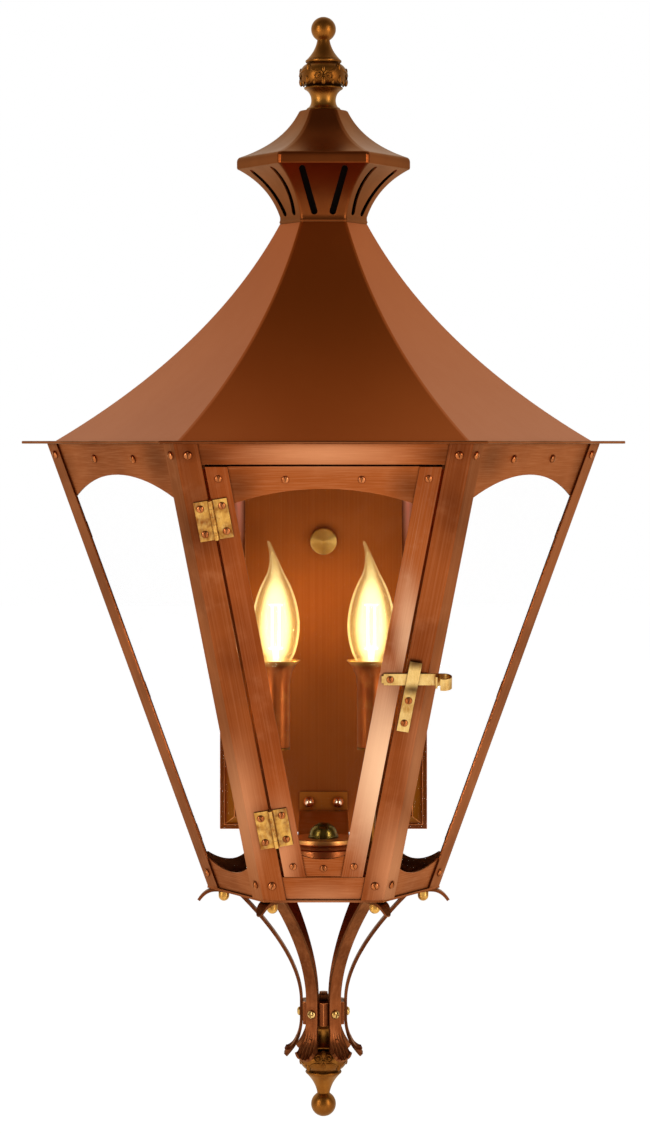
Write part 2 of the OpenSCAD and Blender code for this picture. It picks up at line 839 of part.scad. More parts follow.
module hub() {
    color(dark_copper) lantern_frame() difference() {
        translate([0, 0, hub_low]) rotate([0, 0, face_turn / 2]) cylinder(r = hub_a / hex_c, h = hub_h, $fn = faces);
        translate([0, 0, hub_low - 1]) cylinder(r = stud_r + fit, h = hub_h + 2);
        for (k = [0:faces - 1])
            rotate([0, 0, face_turn * k])
                translate([hub_a - 6, 0, hub_screw_z])
                rotate([0, 90, 0])
                cylinder(r = screw_shank_r + fit / 2, h = 10);
    }
}

module hub_screws() {
    color(brass) lantern_frame() for (k = [0:faces - 1])
        rotate([0, 0, face_turn * k])
            translate([hub_a + leg_t, 0, hub_screw_z])
            rotate([0, 90, 0])
            rotate([0, 0, 20 * k])
            round_screw(3.2, 2, screw_shank_r, leg_t + 5);
}

module leg_bolts() {
    dome_r = 3.95;
    color(brass) lantern_frame() for (k = [0:faces - 1])
        rotate([0, 0, face_turn * k]) translate([leg_bolt_r, 0, 0]) {
            low = floor_top - floor_t - leg_t;
            translate([0, 0, low - 3.4]) cylinder(r = dome_r, h = 3.4);
            intersection() {
                translate([0, 0, low - 3.4]) sphere(dome_r);
                translate([0, 0, low - 8]) cylinder(r = dome_r, h = 5);
            }
            translate([0, 0, low - 1]) cylinder(r = bolt_r, h = floor_t + leg_t + 1.5);
            translate([0, 0, floor_top]) cylinder(r = 3.6, h = 2.4, $fn = 6);
        }
}

// Candle cup, arms, sleeves and lamps
arm_z = -cup_top - 14.5;
elbow_r = 8;
seat_t = 1.5;
sleeve_low = -sleeve_top - sleeve_h;
sleeve_t = 0.8;
socket_r = 9;
base_r = 6;
base_low = -sleeve_top - 42;
base_high = -sleeve_top - 12;
bulb_wide_z = -sleeve_top + 27.6;
bulb_tip_z = -sleeve_top + 87.4;

module candle_cup() {
    low = floor_top;
    high = -cup_top;
    bead_z = high - 6.5;
    color(copper) lantern_frame() difference() {
        rotate_extrude($fn = 96) polygon([
            [0, high - sheet], [0, high], [cup_r - 1, high], [cup_r, high - 1], [cup_r, high - 3.5],
            [cup_r - 2, high - 4.5], [cup_r - 2, bead_z + 1.2], [cup_r - 0.6, bead_z], [cup_r - 2, bead_z - 1.2],
            [cup_r - 2, low], [cup_r - 2 - sheet, low], [cup_r - 2 - sheet, high - 4.5],
            [cup_r - 1.6 - sheet, high - 3.5], [cup_r - 1.6 - sheet, high - sheet]
        ]);
        translate([0, 0, high - 5]) cylinder(r = stud_r + fit, h = 10);
        translate([-bracket_w / 2 - seat, 0, bracket_tab_low - seat])
            cube([bracket_w + 2 * seat, far, bracket_t + seat]);
        translate([0, 0, arm_z]) rotate([0, 90, 0]) cylinder(r = arm_r + fit, h = 2 * candle_x, center = true);
    }
}

module cup_nut() {
    dome_r = 11;
    color(brass) lantern_frame() translate([0, 0, -cup_top]) {
        difference() {
            rotate_extrude() polygon(concat(
                [[0, 0], [dome_r, 0], [dome_r, 1.2]],
                curve([[dome_r - 0.6, 1.6], [dome_r - 1, 8], [4.5, 9.8]], 7),
                curve([[4.5, 9.8], [3.6, 11], [0, 11]], 3)
            ));
            translate([0, 0, -1]) cylinder(r = stud_r + fit / 2, h = 8);
        }
        translate([0, 0, -sheet - bracket_t - nut_h - 1]) cylinder(r = stud_r, h = sheet + bracket_t + nut_h + 6);
        translate([0, 0, -sheet - bracket_t - nut_h]) hex_nut(nut_r, nut_h, stud_r);
    }
}

module candle_arm() {
    start = cup_r - 2 - sheet - 3;
    difference() {
        union() {
            translate([start, 0, arm_z]) rotate([0, 90, 0]) cylinder(r = arm_r, h = candle_x - elbow_r - start);
            translate([candle_x - elbow_r, 0, arm_z + elbow_r])
                rotate([90, 0, 0])
                rotate([0, 0, -90])
                rotate_extrude(angle = 90)
                translate([elbow_r, 0])
                circle(arm_r);
            translate([candle_x, 0, arm_z + elbow_r])
                cylinder(r = arm_r, h = sleeve_low - seat_t - arm_z - elbow_r);
            translate([candle_x, 0, sleeve_low - seat_t]) cylinder(r = sleeve_r, h = seat_t);
        }
        translate([candle_x, 0, arm_z + elbow_r]) cylinder(r = arm_r - 1, h = sleeve_low - arm_z);
    }
}

module candle_arms() {
    color(brass) lantern_frame() for (side = [0, 1]) mirror([side, 0, 0]) candle_arm();
}

module at_candles() {
    for (side = [-1, 1]) translate([side * candle_x, 0, 0]) children();
}

module candle_sleeves() {
    flare_h = 19;
    outer = concat(
        [[sleeve_r, sleeve_low], [sleeve_r, -sleeve_top - flare_h]],
        curve([[sleeve_r, -sleeve_top - flare_h], [sleeve_r + 0.4, -sleeve_top - 6], [flare_r, -sleeve_top]], 7)
    );
    inner = [for (p = outer) [p[0] - sleeve_t, p[1]]];
    color(copper) lantern_frame() at_candles() rotate_extrude() polygon(concat(outer, reversed(inner)));
}

module lamp_sockets() {
    color([0.2, 0.18, 0.16]) lantern_frame() at_candles() translate([0, 0, sleeve_low]) difference() {
        cylinder(r = socket_r, h = sleeve_h - 12);
        translate([0, 0, base_low - sleeve_low]) cylinder(r = base_r + fit, h = 60);
        translate([0, 0, -1]) cylinder(r = arm_r - 1, h = 20);
    }
}

module lamp_bases() {
    color(brass) lantern_frame() at_candles() difference() {
        union() {
            translate([0, 0, base_low + 1]) cylinder(r = base_r, h = base_high - base_low - 1);
            translate([0, 0, base_low]) cylinder(r = 3, h = 2);
        }
        translate([0, 0, base_low + 4]) cylinder(r = base_r - 0.5, h = 60);
    }
}

function lamp_outline(inset) = concat(
    curve([[6.6 - inset, base_high], [8 - inset, base_high + 5],
        [bulb_r * 0.8 - inset, -sleeve_top + 5]], 4),
    curve([[bulb_r * 0.8 - inset, -sleeve_top + 5], [bulb_r * 1.02 - inset, -sleeve_top + 16],
        [bulb_r - inset, bulb_wide_z]], 6),
    curve([[bulb_r - inset, bulb_wide_z], [bulb_r * 0.93 - inset, -sleeve_top + 46],
        [bulb_r * 0.4 - inset, -sleeve_top + 62]], 8),
    curve([[bulb_r * 0.4 - inset, -sleeve_top + 62], [bulb_r * 0.2 - inset, -sleeve_top + 68],
        [1.3 - inset * 0.6, bulb_tip_z - 8 - inset]], 4)
);

module lamp_glass() {
    wall = 0.8;
    tip_z = bulb_tip_z - 8;
    tip_turn = 22;
    color([1, 0.93, 0.7, 0.4]) lantern_frame() at_candles() {
        rotate_extrude() polygon(concat(
            lamp_outline(0),
            [[0, tip_z], [0, tip_z - wall * 1.5]],
            reversed(lamp_outline(wall))
        ));
        translate([-tip_turn, 0, tip_z])
            rotate([90, 0, 0])
            rotate_extrude(angle = tip_turn)
            translate([tip_turn, 0])
            circle(1.25);
    }
}

module lamp_filaments() {
    low = base_low + 4;
    ring_z = -sleeve_top + 8;
    ring_t = 0.8;
    strand_x = 3.6;
    strand_h = 32;
    color([1, 0.85, 0.5]) lantern_frame() at_candles() {
        translate([0, 0, low]) cylinder(r = strand_x - 1.4, h = ring_z - low + ring_t / 2);
        for (z = [ring_z, ring_z + strand_h])
            translate([0, 0, z]) cylinder(r = strand_x + 1.4, h = ring_t);
        for (a = [45:90:315])
            rotate([0, 0, a]) translate([strand_x, 0, ring_z + ring_t / 2]) cylinder(r = 0.8, h = strand_h);
    }
}

// Door
stile_return = 2 * sheet + glass_t + 2 * fit;
tab_shares = [0.19, 0.5, 0.84];
tab_l = 14;

module door_stile(side) {
    inner_edge = door_edge + stile_w;
    low = -door_bottom;
    high = -door_top;
    difference() {
        union() {
            layer(0, 0, sheet) edge_strip(side, door_edge, inner_edge, low, high);
            layer(0, 0, stile_return + sheet) edge_strip(side, door_edge, door_edge + sheet, low, high);
            for (v = low * tab_shares)
                layer(0, stile_return, stile_return + sheet)
                    edge_strip(side, door_edge, door_edge + 6, v - tab_l / 2, v + tab_l / 2);
        }
        at_door_screws([side]) small_hole();
        if (side < 0) at_hinges() hinge_screw_places(1) small_hole();
        if (side > 0) at_latch_pivot() small_hole();
    }
}

door_screw_v = [-door_top - 8.5, -door_bottom + 8];
panel_screw_u = 26;
panel_screw_in = 9.4;
sill_screw_in = 6;

// Screws through the stiles into the two panels, at the top and at the bottom
module at_door_screws(sides) {
    for (v = door_screw_v, side = sides)
        on_face(0) translate([side * (half_w(v) - door_edge - stile_w / 2), v, 0]) children();
}

// Screws in the panels between the stiles: two in the top one and one in the bottom one
module at_panel_screws() {
    for (side = [-1, 1])
        on_face(0) translate([side * panel_screw_u, -door_top - panel_screw_in, -sheet]) children();
    on_face(0) translate([0, -door_bottom + sill_screw_in, -sheet]) children();
}

module door_stile_left() {
    color(copper) lantern_frame() door_stile(-1);
}

module door_stile_right() {
    color(copper) lantern_frame() door_stile(1);
}

panel_edge = door_edge + sheet + fit;

module door_top_panel() {
    inner_edge = door_edge + stile_w;
    arch_v = -door_top - door_arch_end;
    color(copper) lantern_frame() difference() {
        layer(0, sheet, 2 * sheet) difference() {
            span(panel_edge, arch_v - 2, -door_top);
            translate([0, -door_top - door_arch_mid])
                arch_circle(half_w(arch_v) - inner_edge, door_arch_end - door_arch_mid);
        }
        at_door_screws([-1, 1]) small_hole();
        at_panel_screws() small_hole();
    }
}

module door_bottom_panel() {
    inner_edge = door_edge + stile_w;
    sill_v = -door_bottom + door_sill_end;
    color(copper) lantern_frame() difference() {
        layer(0, sheet, 2 * sheet) difference() {
            span(panel_edge, -door_bottom, sill_v + 1);
            translate([0, sill_v - door_sill_dip])
                mirror([0, 1])
                arch_circle(half_w(sill_v) - inner_edge, door_sill_dip);
        }
        at_door_screws([-1, 1]) small_hole();
        at_panel_screws() small_hole();
    }
}

module door_glass() {
    color([0.8, 0.9, 0.92, 0.3]) lantern_frame() difference() {
        layer(0, 2 * sheet, 2 * sheet + glass_t) span(panel_edge, -door_bottom + 1, -door_top - 1);
        at_door_screws([-1, 1]) translate([0, 0, -8]) cylinder(r = 2.4, h = 16);
        at_panel_screws() translate([0, 0, -8]) cylinder(r = 2.4, h = 16);
    }
}

module small_screw(grip) {
    round_screw(small_head_r, small_head_h, small_shank_r, grip);
}

module door_screws() {
    color(dark_copper) lantern_frame() {
        at_door_screws([-1, 1]) rotate([0, 0, 25]) small_screw(2 * sheet + 1);
        at_panel_screws() rotate([0, 0, 60]) small_screw(sheet + 1);
        at_hinges() hinge_screw_places(1) rotate([0, 0, 110]) small_screw(hinge_leaf_t + sheet);
        at_latch_pivot() translate([0, 0, latch_n + latch_t + pivot_play]) small_screw(latch_n + latch_t + sheet);
    }
}

// Hinges: x runs across the leaves, y along the pin and z out of the face
module at_hinges() {
    for (v = [-upper_hinge, -lower_hinge])
        on_face(0) translate([-half_w(v) + hinge_edge, v, 0]) rotate([0, 0, edge_angle]) children();
}

hinge_screw_in = 4;
hinge_screw_end = 5;

module hinge_screw_places(side) {
    for (y = [-1, 1])
        translate([side * (hinge_leaf_w - hinge_screw_in), y * (hinge_h / 2 - hinge_screw_end), hinge_leaf_t])
            children();
}

knuckles = 5;
knuckle_h = hinge_h / knuckles;
knuckle_play = 0.15;

// One leaf: side -1 on the post with the odd knuckles, side 1 on the door with the even ones
module hinge_leaf(side) {
    inner = barrel_r + knuckle_play;
    own = side < 0 ? [0, 2, 4] : [1, 3];
    difference() {
        union() {
            mirror([side < 0 ? 1 : 0, 0, 0])
                translate([inner, -hinge_h / 2, 0])
                cube([hinge_leaf_w - inner, hinge_h, hinge_leaf_t]);
            for (i = own)
                translate([0, -hinge_h / 2 + i * knuckle_h + knuckle_play / 2, 0]) {
                    mirror([side < 0 ? 1 : 0, 0, 0])
                        translate([0, 0, fit])
                        cube([inner + 0.5, knuckle_h - knuckle_play, hinge_leaf_t - fit]);
                    translate([0, 0, hinge_n])
                        rotate([-90, 0, 0])
                        cylinder(r = barrel_r, h = knuckle_h - knuckle_play);
                }
        }
        translate([0, -hinge_h, hinge_n]) rotate([-90, 0, 0]) cylinder(r = pin_r + pivot_play, h = 2 * hinge_h);
        hinge_screw_places(side) small_hole();
    }
}

module hinge_post_leaves() {
    color(brass) lantern_frame() at_hinges() hinge_leaf(-1);
}

module hinge_door_leaves() {
    color(brass) lantern_frame() at_hinges() hinge_leaf(1);
}

module hinge_pins() {
    color(brass) lantern_frame() at_hinges()
        translate([0, -hinge_h / 2, hinge_n])
        rotate([-90, 0, 0])
        cylinder(r = pin_r, h = hinge_h);
}

module post_screws() {
    color(dark_copper) lantern_frame() {
        at_hinges() hinge_screw_places(-1) rotate([0, 0, 30]) small_screw(hinge_leaf_t + sheet);
        at_latch_post() keeper_screw_places() rotate([0, 0, 75]) small_screw(latch_t + sheet);
    }
}

// Latch: a bar that turns on the right stile and drops into a bent keeper on the post
latch_n = 0.1;
latch_pivot_u = half_w(-latch_v) - door_edge - stile_w / 2;
keeper_shift = 2;
keeper_u = half_w(-latch_v) - flange_w / 2 - keeper_shift;
latch_tail = 6;
latch_over = 11.3;
latch_reach = half_w(-latch_v) - latch_pivot_u + latch_over;
keeper_gap = 0.4;
keeper_rise = latch_n + latch_t + keeper_gap;
keeper_up = 13.5;
keeper_foot = 39.5;
keeper_screw_y = [-16, -33];

module at_latch_pivot() {
    on_face(0) translate([latch_pivot_u, -latch_v, 0]) children();
}

module at_latch_post() {
    on_face(0) translate([keeper_u, -latch_v, 0]) rotate([0, 0, -edge_angle]) children();
}

module keeper_screw_places() {
    for (y = keeper_screw_y) translate([0, y, latch_t]) children();
}

module latch_keeper() {
    bend_low = -latch_w / 2 - 3.5;
    bend_high = -latch_w / 2 - 0.8;
    color(brass) lantern_frame() at_latch_post() difference() {
        rotate([90, 0, 90]) linear_extrude(keeper_w, center = true) polygon([
            [-keeper_foot, 0], [bend_low, 0], [bend_high, keeper_rise], [keeper_up, keeper_rise],
            [keeper_up, keeper_rise + latch_t], [bend_high - 0.7, keeper_rise + latch_t],
            [bend_low - 0.7, latch_t], [-keeper_foot, latch_t]
        ]);
        keeper_screw_places() small_hole();
    }
}

module latch_bar() {
    color(brass) lantern_frame() at_latch_pivot() difference() {
        union() {
            translate([0, -latch_w / 2, latch_n]) cube([latch_reach, latch_w, latch_t]);
            translate([-latch_tail + 1.5, -latch_w / 2, latch_n]) cube([latch_tail, latch_w, latch_t]);
            translate([-latch_tail, -latch_w / 2 + 1.5, latch_n]) cube([latch_tail, latch_w - 3, latch_t]);
            translate([latch_reach, -latch_w / 2, latch_n + loop_r]) rotate([-90, 0, 0]) difference() {
                cylinder(r = loop_r, h = latch_w);
                translate([0, 0, -1]) cylinder(r = loop_r - latch_t, h = latch_w + 2);
                translate([-loop_r - 1, -loop_r, -1]) cube([loop_r - 1.5, loop_r - 1.6, latch_w + 2]);
            }
        }
        translate([0, 0, -4]) cylinder(r = small_shank_r + pivot_play, h = 8);
    }
}

mounting_bar();
wall_plate();
back_panel();
mounting_knob();
support_bracket();
bracket_bolts();
eave_plate();
roof();
vent_collar();
vent_liner();
crown_cap();
top_finial();
bottom_finial();
finial_studs();
corner_post(0);  // post_front_right
corner_post(1);  // post_right
corner_post(2);  // post_rear_right
corner_post(3);  // post_rear_left
corner_post(4);  // post_left
corner_post(5);  // post_front_left
front_top_rail();
front_bottom_rail();
rear_top_rail();
top_bands();
bottom_bands();
frame_screws();
side_glass();
glass_clips();
floor_plate();
leg(0);  // leg_front_right
leg(1);  // leg_right
leg(2);  // leg_rear_right
leg(3);  // leg_rear_left
leg(4);  // leg_left
leg(5);  // leg_front_left
leg_bolts();
hub();
hub_screws();
candle_cup();
cup_nut();
candle_arms();
candle_sleeves();
lamp_sockets();
lamp_glass();
lamp_bases();
lamp_filaments();
door_stile_left();
door_stile_right();
door_top_panel();
door_bottom_panel();
door_glass();
door_screws();
hinge_post_leaves();
hinge_door_leaves();
hinge_pins();
post_screws();
latch_keeper();
latch_bar();
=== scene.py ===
# %% [markdown]
# # A copper wall lantern, dressed for its portrait
# The measured model of the lantern comes in first. It is the fixed frame: every sheet, pane and
# screw already stands at its real place, in metres. What follows gives those pieces soft edges,
# smooth curves and the finishes of old copper, cast brass and warm lamp glass.

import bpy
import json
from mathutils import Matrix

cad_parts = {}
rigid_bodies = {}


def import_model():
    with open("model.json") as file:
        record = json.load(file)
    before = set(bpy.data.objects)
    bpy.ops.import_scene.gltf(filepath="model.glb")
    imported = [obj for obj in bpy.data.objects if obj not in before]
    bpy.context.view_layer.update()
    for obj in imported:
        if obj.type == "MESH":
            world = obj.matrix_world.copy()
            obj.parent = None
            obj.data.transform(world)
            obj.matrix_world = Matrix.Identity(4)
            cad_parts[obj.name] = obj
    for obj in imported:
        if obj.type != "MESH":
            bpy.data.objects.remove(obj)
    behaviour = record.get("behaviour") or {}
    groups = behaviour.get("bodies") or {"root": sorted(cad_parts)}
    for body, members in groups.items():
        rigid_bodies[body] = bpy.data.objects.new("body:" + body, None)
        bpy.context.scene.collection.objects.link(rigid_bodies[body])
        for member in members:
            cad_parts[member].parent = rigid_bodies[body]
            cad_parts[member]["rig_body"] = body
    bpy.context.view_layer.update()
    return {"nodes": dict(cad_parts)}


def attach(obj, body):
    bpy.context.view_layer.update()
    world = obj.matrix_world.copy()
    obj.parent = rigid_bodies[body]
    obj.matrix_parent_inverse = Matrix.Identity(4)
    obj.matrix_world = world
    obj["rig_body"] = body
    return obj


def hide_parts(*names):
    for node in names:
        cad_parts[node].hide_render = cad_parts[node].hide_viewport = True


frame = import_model()

# %% [markdown]
# The lantern was drawn round its own upright axis, with heights counted from the eaves and every
# size in millimetres. Modelling in the same way keeps the numbers readable, so one matrix takes a
# finished piece from the lantern's millimetres to the frame's metres.

# %% Measures of the lantern
import json
import math

import bmesh
import bpy
from mathutils import Matrix, Vector

MM = 0.001
axis_to_wall = 200.0
eaves_over_box = 78.0
axis_y, eaves_z = -axis_to_wall * MM, eaves_over_box * MM
LANTERN = Matrix.Translation((0, axis_y, eaves_z)) @ Matrix.Scale(MM, 4)

sheet = 1.2
body_top_r, body_bottom_r, body_h = 203.2, 85.1, 325.0
flat_share = math.cos(math.radians(30))
face_tilt = math.atan(flat_share * (body_top_r - body_bottom_r) / body_h)
face_distance = body_top_r * flat_share
edge_taper = (body_top_r - body_bottom_r) / 2 / (body_h / math.cos(face_tilt))
edge_lean = math.atan(edge_taper)
print("faces lean in by", round(math.degrees(face_tilt), 2), "degrees")


def half_width(v):
    """Half width of a body face at slope distance v above the eaves."""
    return body_top_r / 2 + edge_taper * v


def at(x, y, z):
    """A place in millimetres, as a matrix."""
    return Matrix.Translation((x, y, z))


def face_turn(k):
    """The turn about the lantern's axis that takes the front face to face k."""
    return Matrix.Rotation(math.radians(60 * k), 4, "Z")


TOWARD_VIEWER = Matrix.Rotation(math.pi / 2, 4, "X")
UPSIDE_DOWN = Matrix.Rotation(math.pi, 4, "X")


def face_frame(k):
    """From a face's own plane (x across, y up the slope, z outwards) to the lantern."""
    return face_turn(k) @ at(0, -face_distance, 0) @ Matrix.Rotation(math.pi / 2 + face_tilt, 4, "X")


# %% [markdown]
# A camera stands in front at the height of the eaves, about two and a quarter metres away. It
# looks straight at the wall, so upright edges stay upright, and the lens is shifted down to frame
# the whole lantern, as an architectural photographer would do it.

# %% Camera
camera_data = bpy.data.cameras.new("portrait_camera")
camera = bpy.data.objects.new("portrait_camera", camera_data)
bpy.context.scene.collection.objects.link(camera)
bpy.context.scene.camera = camera
camera_distance = 2.290
pixels_tall, pixels_wide = 1134, 650
focal_pixels, axis_pixel, eaves_pixel = 3124.0, 323.5, 442.3
camera.location = (0.0, axis_y - camera_distance, eaves_z)
camera.rotation_euler = (math.pi / 2, 0, 0)
camera_data.sensor_width = 36.0
camera_data.lens = camera_data.sensor_width * focal_pixels / pixels_tall
camera_data.shift_x = (pixels_wide / 2 - axis_pixel) / pixels_tall
camera_data.shift_y = (eaves_pixel - pixels_tall / 2) / pixels_tall
camera_data.clip_start, camera_data.clip_end = 0.05, 60.0
print("camera lens", round(camera_data.lens, 1), "mm")

# %% [markdown]
# The room is a plain white sweep. To the camera, to glass and to metal it is white behind and
# under the lantern. Metal sees it fall off to a dim studio on the camera's side, which is what
# gives polished sheet its dark and light faces. Two tall soft boxes stand left and right of the
# camera. The floor keeps the lantern's shadow.

# %% Studio
world = bpy.data.worlds.new("white_room")
bpy.context.scene.world = world
world.use_nodes = True
room = world.node_tree
room.nodes.clear()


def add_node(tree, kind, inputs=None, **settings):
    """One shader node with its settings and input values or links."""
    made = tree.nodes.new(kind)
    for name, value in settings.items():
        setattr(made, name, value)
    for key, value in (inputs or {}).items():
        if isinstance(value, bpy.types.NodeSocket):
            tree.links.new(value, made.inputs[key])
        else:
            made.inputs[key].default_value = value
    return made


def math_node(tree, operation, a, b=0.0, clamp=False):
    """The result of one sum on two values or links."""
    made = add_node(tree, "ShaderNodeMath", {0: a, 1: b}, operation=operation)
    made.use_clamp = clamp
    return made.outputs[0]


def fade(tree, value, low, high, start=0.0, end=1.0):
    """A smooth change from start to end while value goes from low to high."""
    made = add_node(tree, "ShaderNodeMapRange",
                    {0: value, 1: low, 2: high, 3: start, 4: end}, interpolation_type="SMOOTHSTEP")
    return made.outputs[0]


look = add_node(room, "ShaderNodeTexCoord").outputs["Generated"]
split = add_node(room, "ShaderNodeSeparateXYZ", {0: look})
behind = fade(room, split.outputs["Y"], -0.25, 0.55, 0.20, 1.0)
under = fade(room, split.outputs["Z"], 0.0, -0.8, 0.0, 0.75)
ceiling = fade(room, split.outputs["Z"], 0.35, 0.95, 1.0, 0.8)
seen_by_metal = math_node(room, "MULTIPLY", math_node(room, "MAXIMUM", behind, under), ceiling)
rays = add_node(room, "ShaderNodeLightPath")
seen = math_node(room, "MAXIMUM", rays.outputs["Is Camera Ray"], rays.outputs["Is Transmission Ray"])
room_light = 0.42
glossy_part = math_node(room, "MULTIPLY", rays.outputs["Is Glossy Ray"], seen_by_metal)
not_glossy = math_node(room, "SUBTRACT", 1.0, rays.outputs["Is Glossy Ray"])
plain_part = math_node(room, "MULTIPLY", not_glossy, room_light)
strength = math_node(room, "MAXIMUM", math_node(room, "ADD", glossy_part, plain_part), seen)
backdrop = add_node(room, "ShaderNodeBackground", {"Color": (1.0, 1.0, 1.0, 1), "Strength": strength})
add_node(room, "ShaderNodeOutputWorld", {"Surface": backdrop.outputs[0]})

soft_boxes = [("soft_box_left", -48.0, 30.0), ("soft_box_right", 48.0, 32.0)]
box_distance, box_height, box_w, box_h = 2.6, 0.35, 0.75, 1.9
for name, azimuth, watts in soft_boxes:
    lamp = bpy.data.lights.new(name, "AREA")
    lamp.shape, lamp.size, lamp.size_y, lamp.energy = "RECTANGLE", box_w, box_h, watts
    stand = bpy.data.objects.new(name, lamp)
    bpy.context.scene.collection.objects.link(stand)
    a = math.radians(azimuth)
    stand.location = (box_distance * math.sin(a), axis_y - box_distance * math.cos(a), box_height)
    aim = Vector((0, axis_y, 0.0)) - stand.location
    stand.rotation_mode = "QUATERNION"
    stand.rotation_quaternion = aim.to_track_quat("-Z", "Y")
bpy.context.scene.view_settings.view_transform = "Standard"
print("studio with", len(soft_boxes), "soft boxes")

# %% [markdown]
# A real sweep is one sheet of paper, curved from the wall to the floor. Here a wide plane is
# enough, since the world is as white as it. Its paint is a plain diffuse white that takes shadow,
# and only what the camera, metal and glass see of it gets some glow on top.

# %% Floor
floor_depth, floor_glow = 1.1, 0.62
bpy.ops.mesh.primitive_plane_add(size=40.0, location=(0, 0, -floor_depth))
floor = bpy.context.active_object
floor.name = "studio_floor"
floor_paint = bpy.data.materials.new("floor_paint")
floor_paint.use_nodes = True
tree = floor_paint.node_tree
tree.nodes.clear()
floor_rays = add_node(tree, "ShaderNodeLightPath")
shown_white = math_node(tree, "MAXIMUM", floor_rays.outputs["Is Camera Ray"],
                        math_node(tree, "MAXIMUM", floor_rays.outputs["Is Glossy Ray"],
                                  floor_rays.outputs["Is Transmission Ray"]))
pale = add_node(tree, "ShaderNodeBsdfDiffuse", {"Color": (0.92, 0.92, 0.92, 1)})
lit = add_node(tree, "ShaderNodeEmission", {"Color": (1, 1, 1, 1), "Strength": floor_glow})
both = add_node(tree, "ShaderNodeAddShader", {0: pale.outputs[0], 1: lit.outputs[0]})
mixed = add_node(tree, "ShaderNodeMixShader", {0: shown_white, 1: pale.outputs[0], 2: both.outputs[0]})
add_node(tree, "ShaderNodeOutputMaterial", {"Surface": mixed.outputs[0]})
floor.data.materials.append(floor_paint)

# %% [markdown]
# ## Finishes
# Sheet copper on such a lantern is brushed, then left to turn brown. Under the brown there are
# patches of lighter metal, and the brushing leaves fine streaks that follow each strip. One group
# makes those streaks from a noise that is stretched along one direction, and puts out a grain
# value for colour, gloss and relief alike.

# %% A group for brushed grain
def new_group(name, inputs, outputs):
    """An empty node group with named sockets."""
    group = bpy.data.node_groups.new(name, "ShaderNodeTree")
    for label, kind, value in inputs:
        socket = group.interface.new_socket(name=label, in_out="INPUT", socket_type=kind)
        if value is not None:
            socket.default_value = value
    for label, kind in outputs:
        group.interface.new_socket(name=label, in_out="OUTPUT", socket_type=kind)
    return group


grain_group = new_group(
    "brushed_grain",
    [("Place", "NodeSocketVector", None), ("Across", "NodeSocketFloat", 900.0),
     ("Along", "NodeSocketFloat", 12.0)],
    [("Grain", "NodeSocketFloat")],
)
g_in = add_node(grain_group, "NodeGroupInput").outputs
g_scale = add_node(grain_group, "ShaderNodeCombineXYZ", {
    0: g_in["Across"], 1: g_in["Across"], 2: g_in["Along"]})
g_place = add_node(grain_group, "ShaderNodeVectorMath",
                   {0: g_in["Place"], 1: g_scale.outputs[0]}, operation="MULTIPLY")
g_noise = add_node(grain_group, "ShaderNodeTexNoise",
                   {"Vector": g_place.outputs[0], "Scale": 1.0, "Detail": 3.0, "Roughness": 0.6})
add_node(grain_group, "NodeGroupOutput", {"Grain": g_noise.outputs[0]})
print("group", grain_group.name, "is ready")

# %% [markdown]
# The second group is the patina: brown, a mid tone and a light tone share the surface in soft
# patches of two sizes, the grain lifts or sinks them a little, painted highlights turn places
# light, and marked places and sheltered corners get a dark tone of painted shade, grime and
# stains. It gives a colour and a roughness.

# %% A group for patina
patina = new_group(
    "patina",
    [("Place", "NodeSocketVector", None), ("Grain", "NodeSocketFloat", 0.5),
     ("Open", "NodeSocketFloat", 1.0), ("Dark", "NodeSocketColor", None),
     ("Mid", "NodeSocketColor", None), ("Light", "NodeSocketColor", None),
     ("Grime", "NodeSocketColor", None), ("Patches", "NodeSocketFloat", 14.0),
     ("Grain Share", "NodeSocketFloat", 0.35), ("Gloss", "NodeSocketFloat", 0.36),
     ("Polish", "NodeSocketFloat", 0.0), ("Stain", "NodeSocketFloat", 0.0),
     ("Gloss Change", "NodeSocketFloat", 1.0)],
    [("Color", "NodeSocketColor"), ("Roughness", "NodeSocketFloat")],
)


def mix_color(tree, factor, a, b, blend="MIX"):
    """Two colours mixed by a factor."""
    made = add_node(tree, "ShaderNodeMix", data_type="RGBA", blend_type=blend)
    for key, value in ((0, factor), (6, a), (7, b)):
        if isinstance(value, bpy.types.NodeSocket):
            tree.links.new(value, made.inputs[key])
        else:
            made.inputs[key].default_value = value
    return made.outputs[2]


p_in = add_node(patina, "NodeGroupInput").outputs
p_big = add_node(patina, "ShaderNodeTexNoise", {
    "Vector": p_in["Place"], "Scale": p_in["Patches"], "Detail": 3.0, "Roughness": 0.55})
p_fine_scale = math_node(patina, "MULTIPLY", p_in["Patches"], 4.7)
p_small = add_node(patina, "ShaderNodeTexNoise", {
    "Vector": p_in["Place"], "Scale": p_fine_scale, "Detail": 4.0, "Roughness": 0.6})
p_brown = fade(patina, p_big.outputs[0], 0.28, 0.66)
p_pink = fade(patina, p_small.outputs[0], 0.5, 0.85, 0.0, 0.14)
tone = mix_color(patina, p_brown, p_in["Dark"], p_in["Mid"])
tone = mix_color(patina, p_pink, tone, p_in["Light"])
p_streak = math_node(patina, "MULTIPLY", fade(patina, p_in["Grain"], 0.42, 0.72), p_in["Grain Share"])
tone = mix_color(patina, p_streak, tone, p_in["Light"])
p_furrow = math_node(patina, "MULTIPLY", fade(patina, p_in["Grain"], 0.5, 0.25), p_in["Grain Share"])
tone = mix_color(patina, p_furrow, tone, p_in["Dark"])
# Painted highlights turn their places to the light tone.
tone = mix_color(patina, p_in["Polish"], tone, p_in["Light"])
# Sheltered corners, found by ambient occlusion, and marked dark places take the grime colour: painted shade,
# with some grime and stains.
p_corner_shade = fade(patina, p_in["Open"], 0.95, 0.35, 0.0, 0.85)
p_shade_and_stain = math_node(patina, "MAXIMUM", p_in["Stain"], p_corner_shade)
tone = mix_color(patina, p_shade_and_stain, tone, p_in["Grime"])
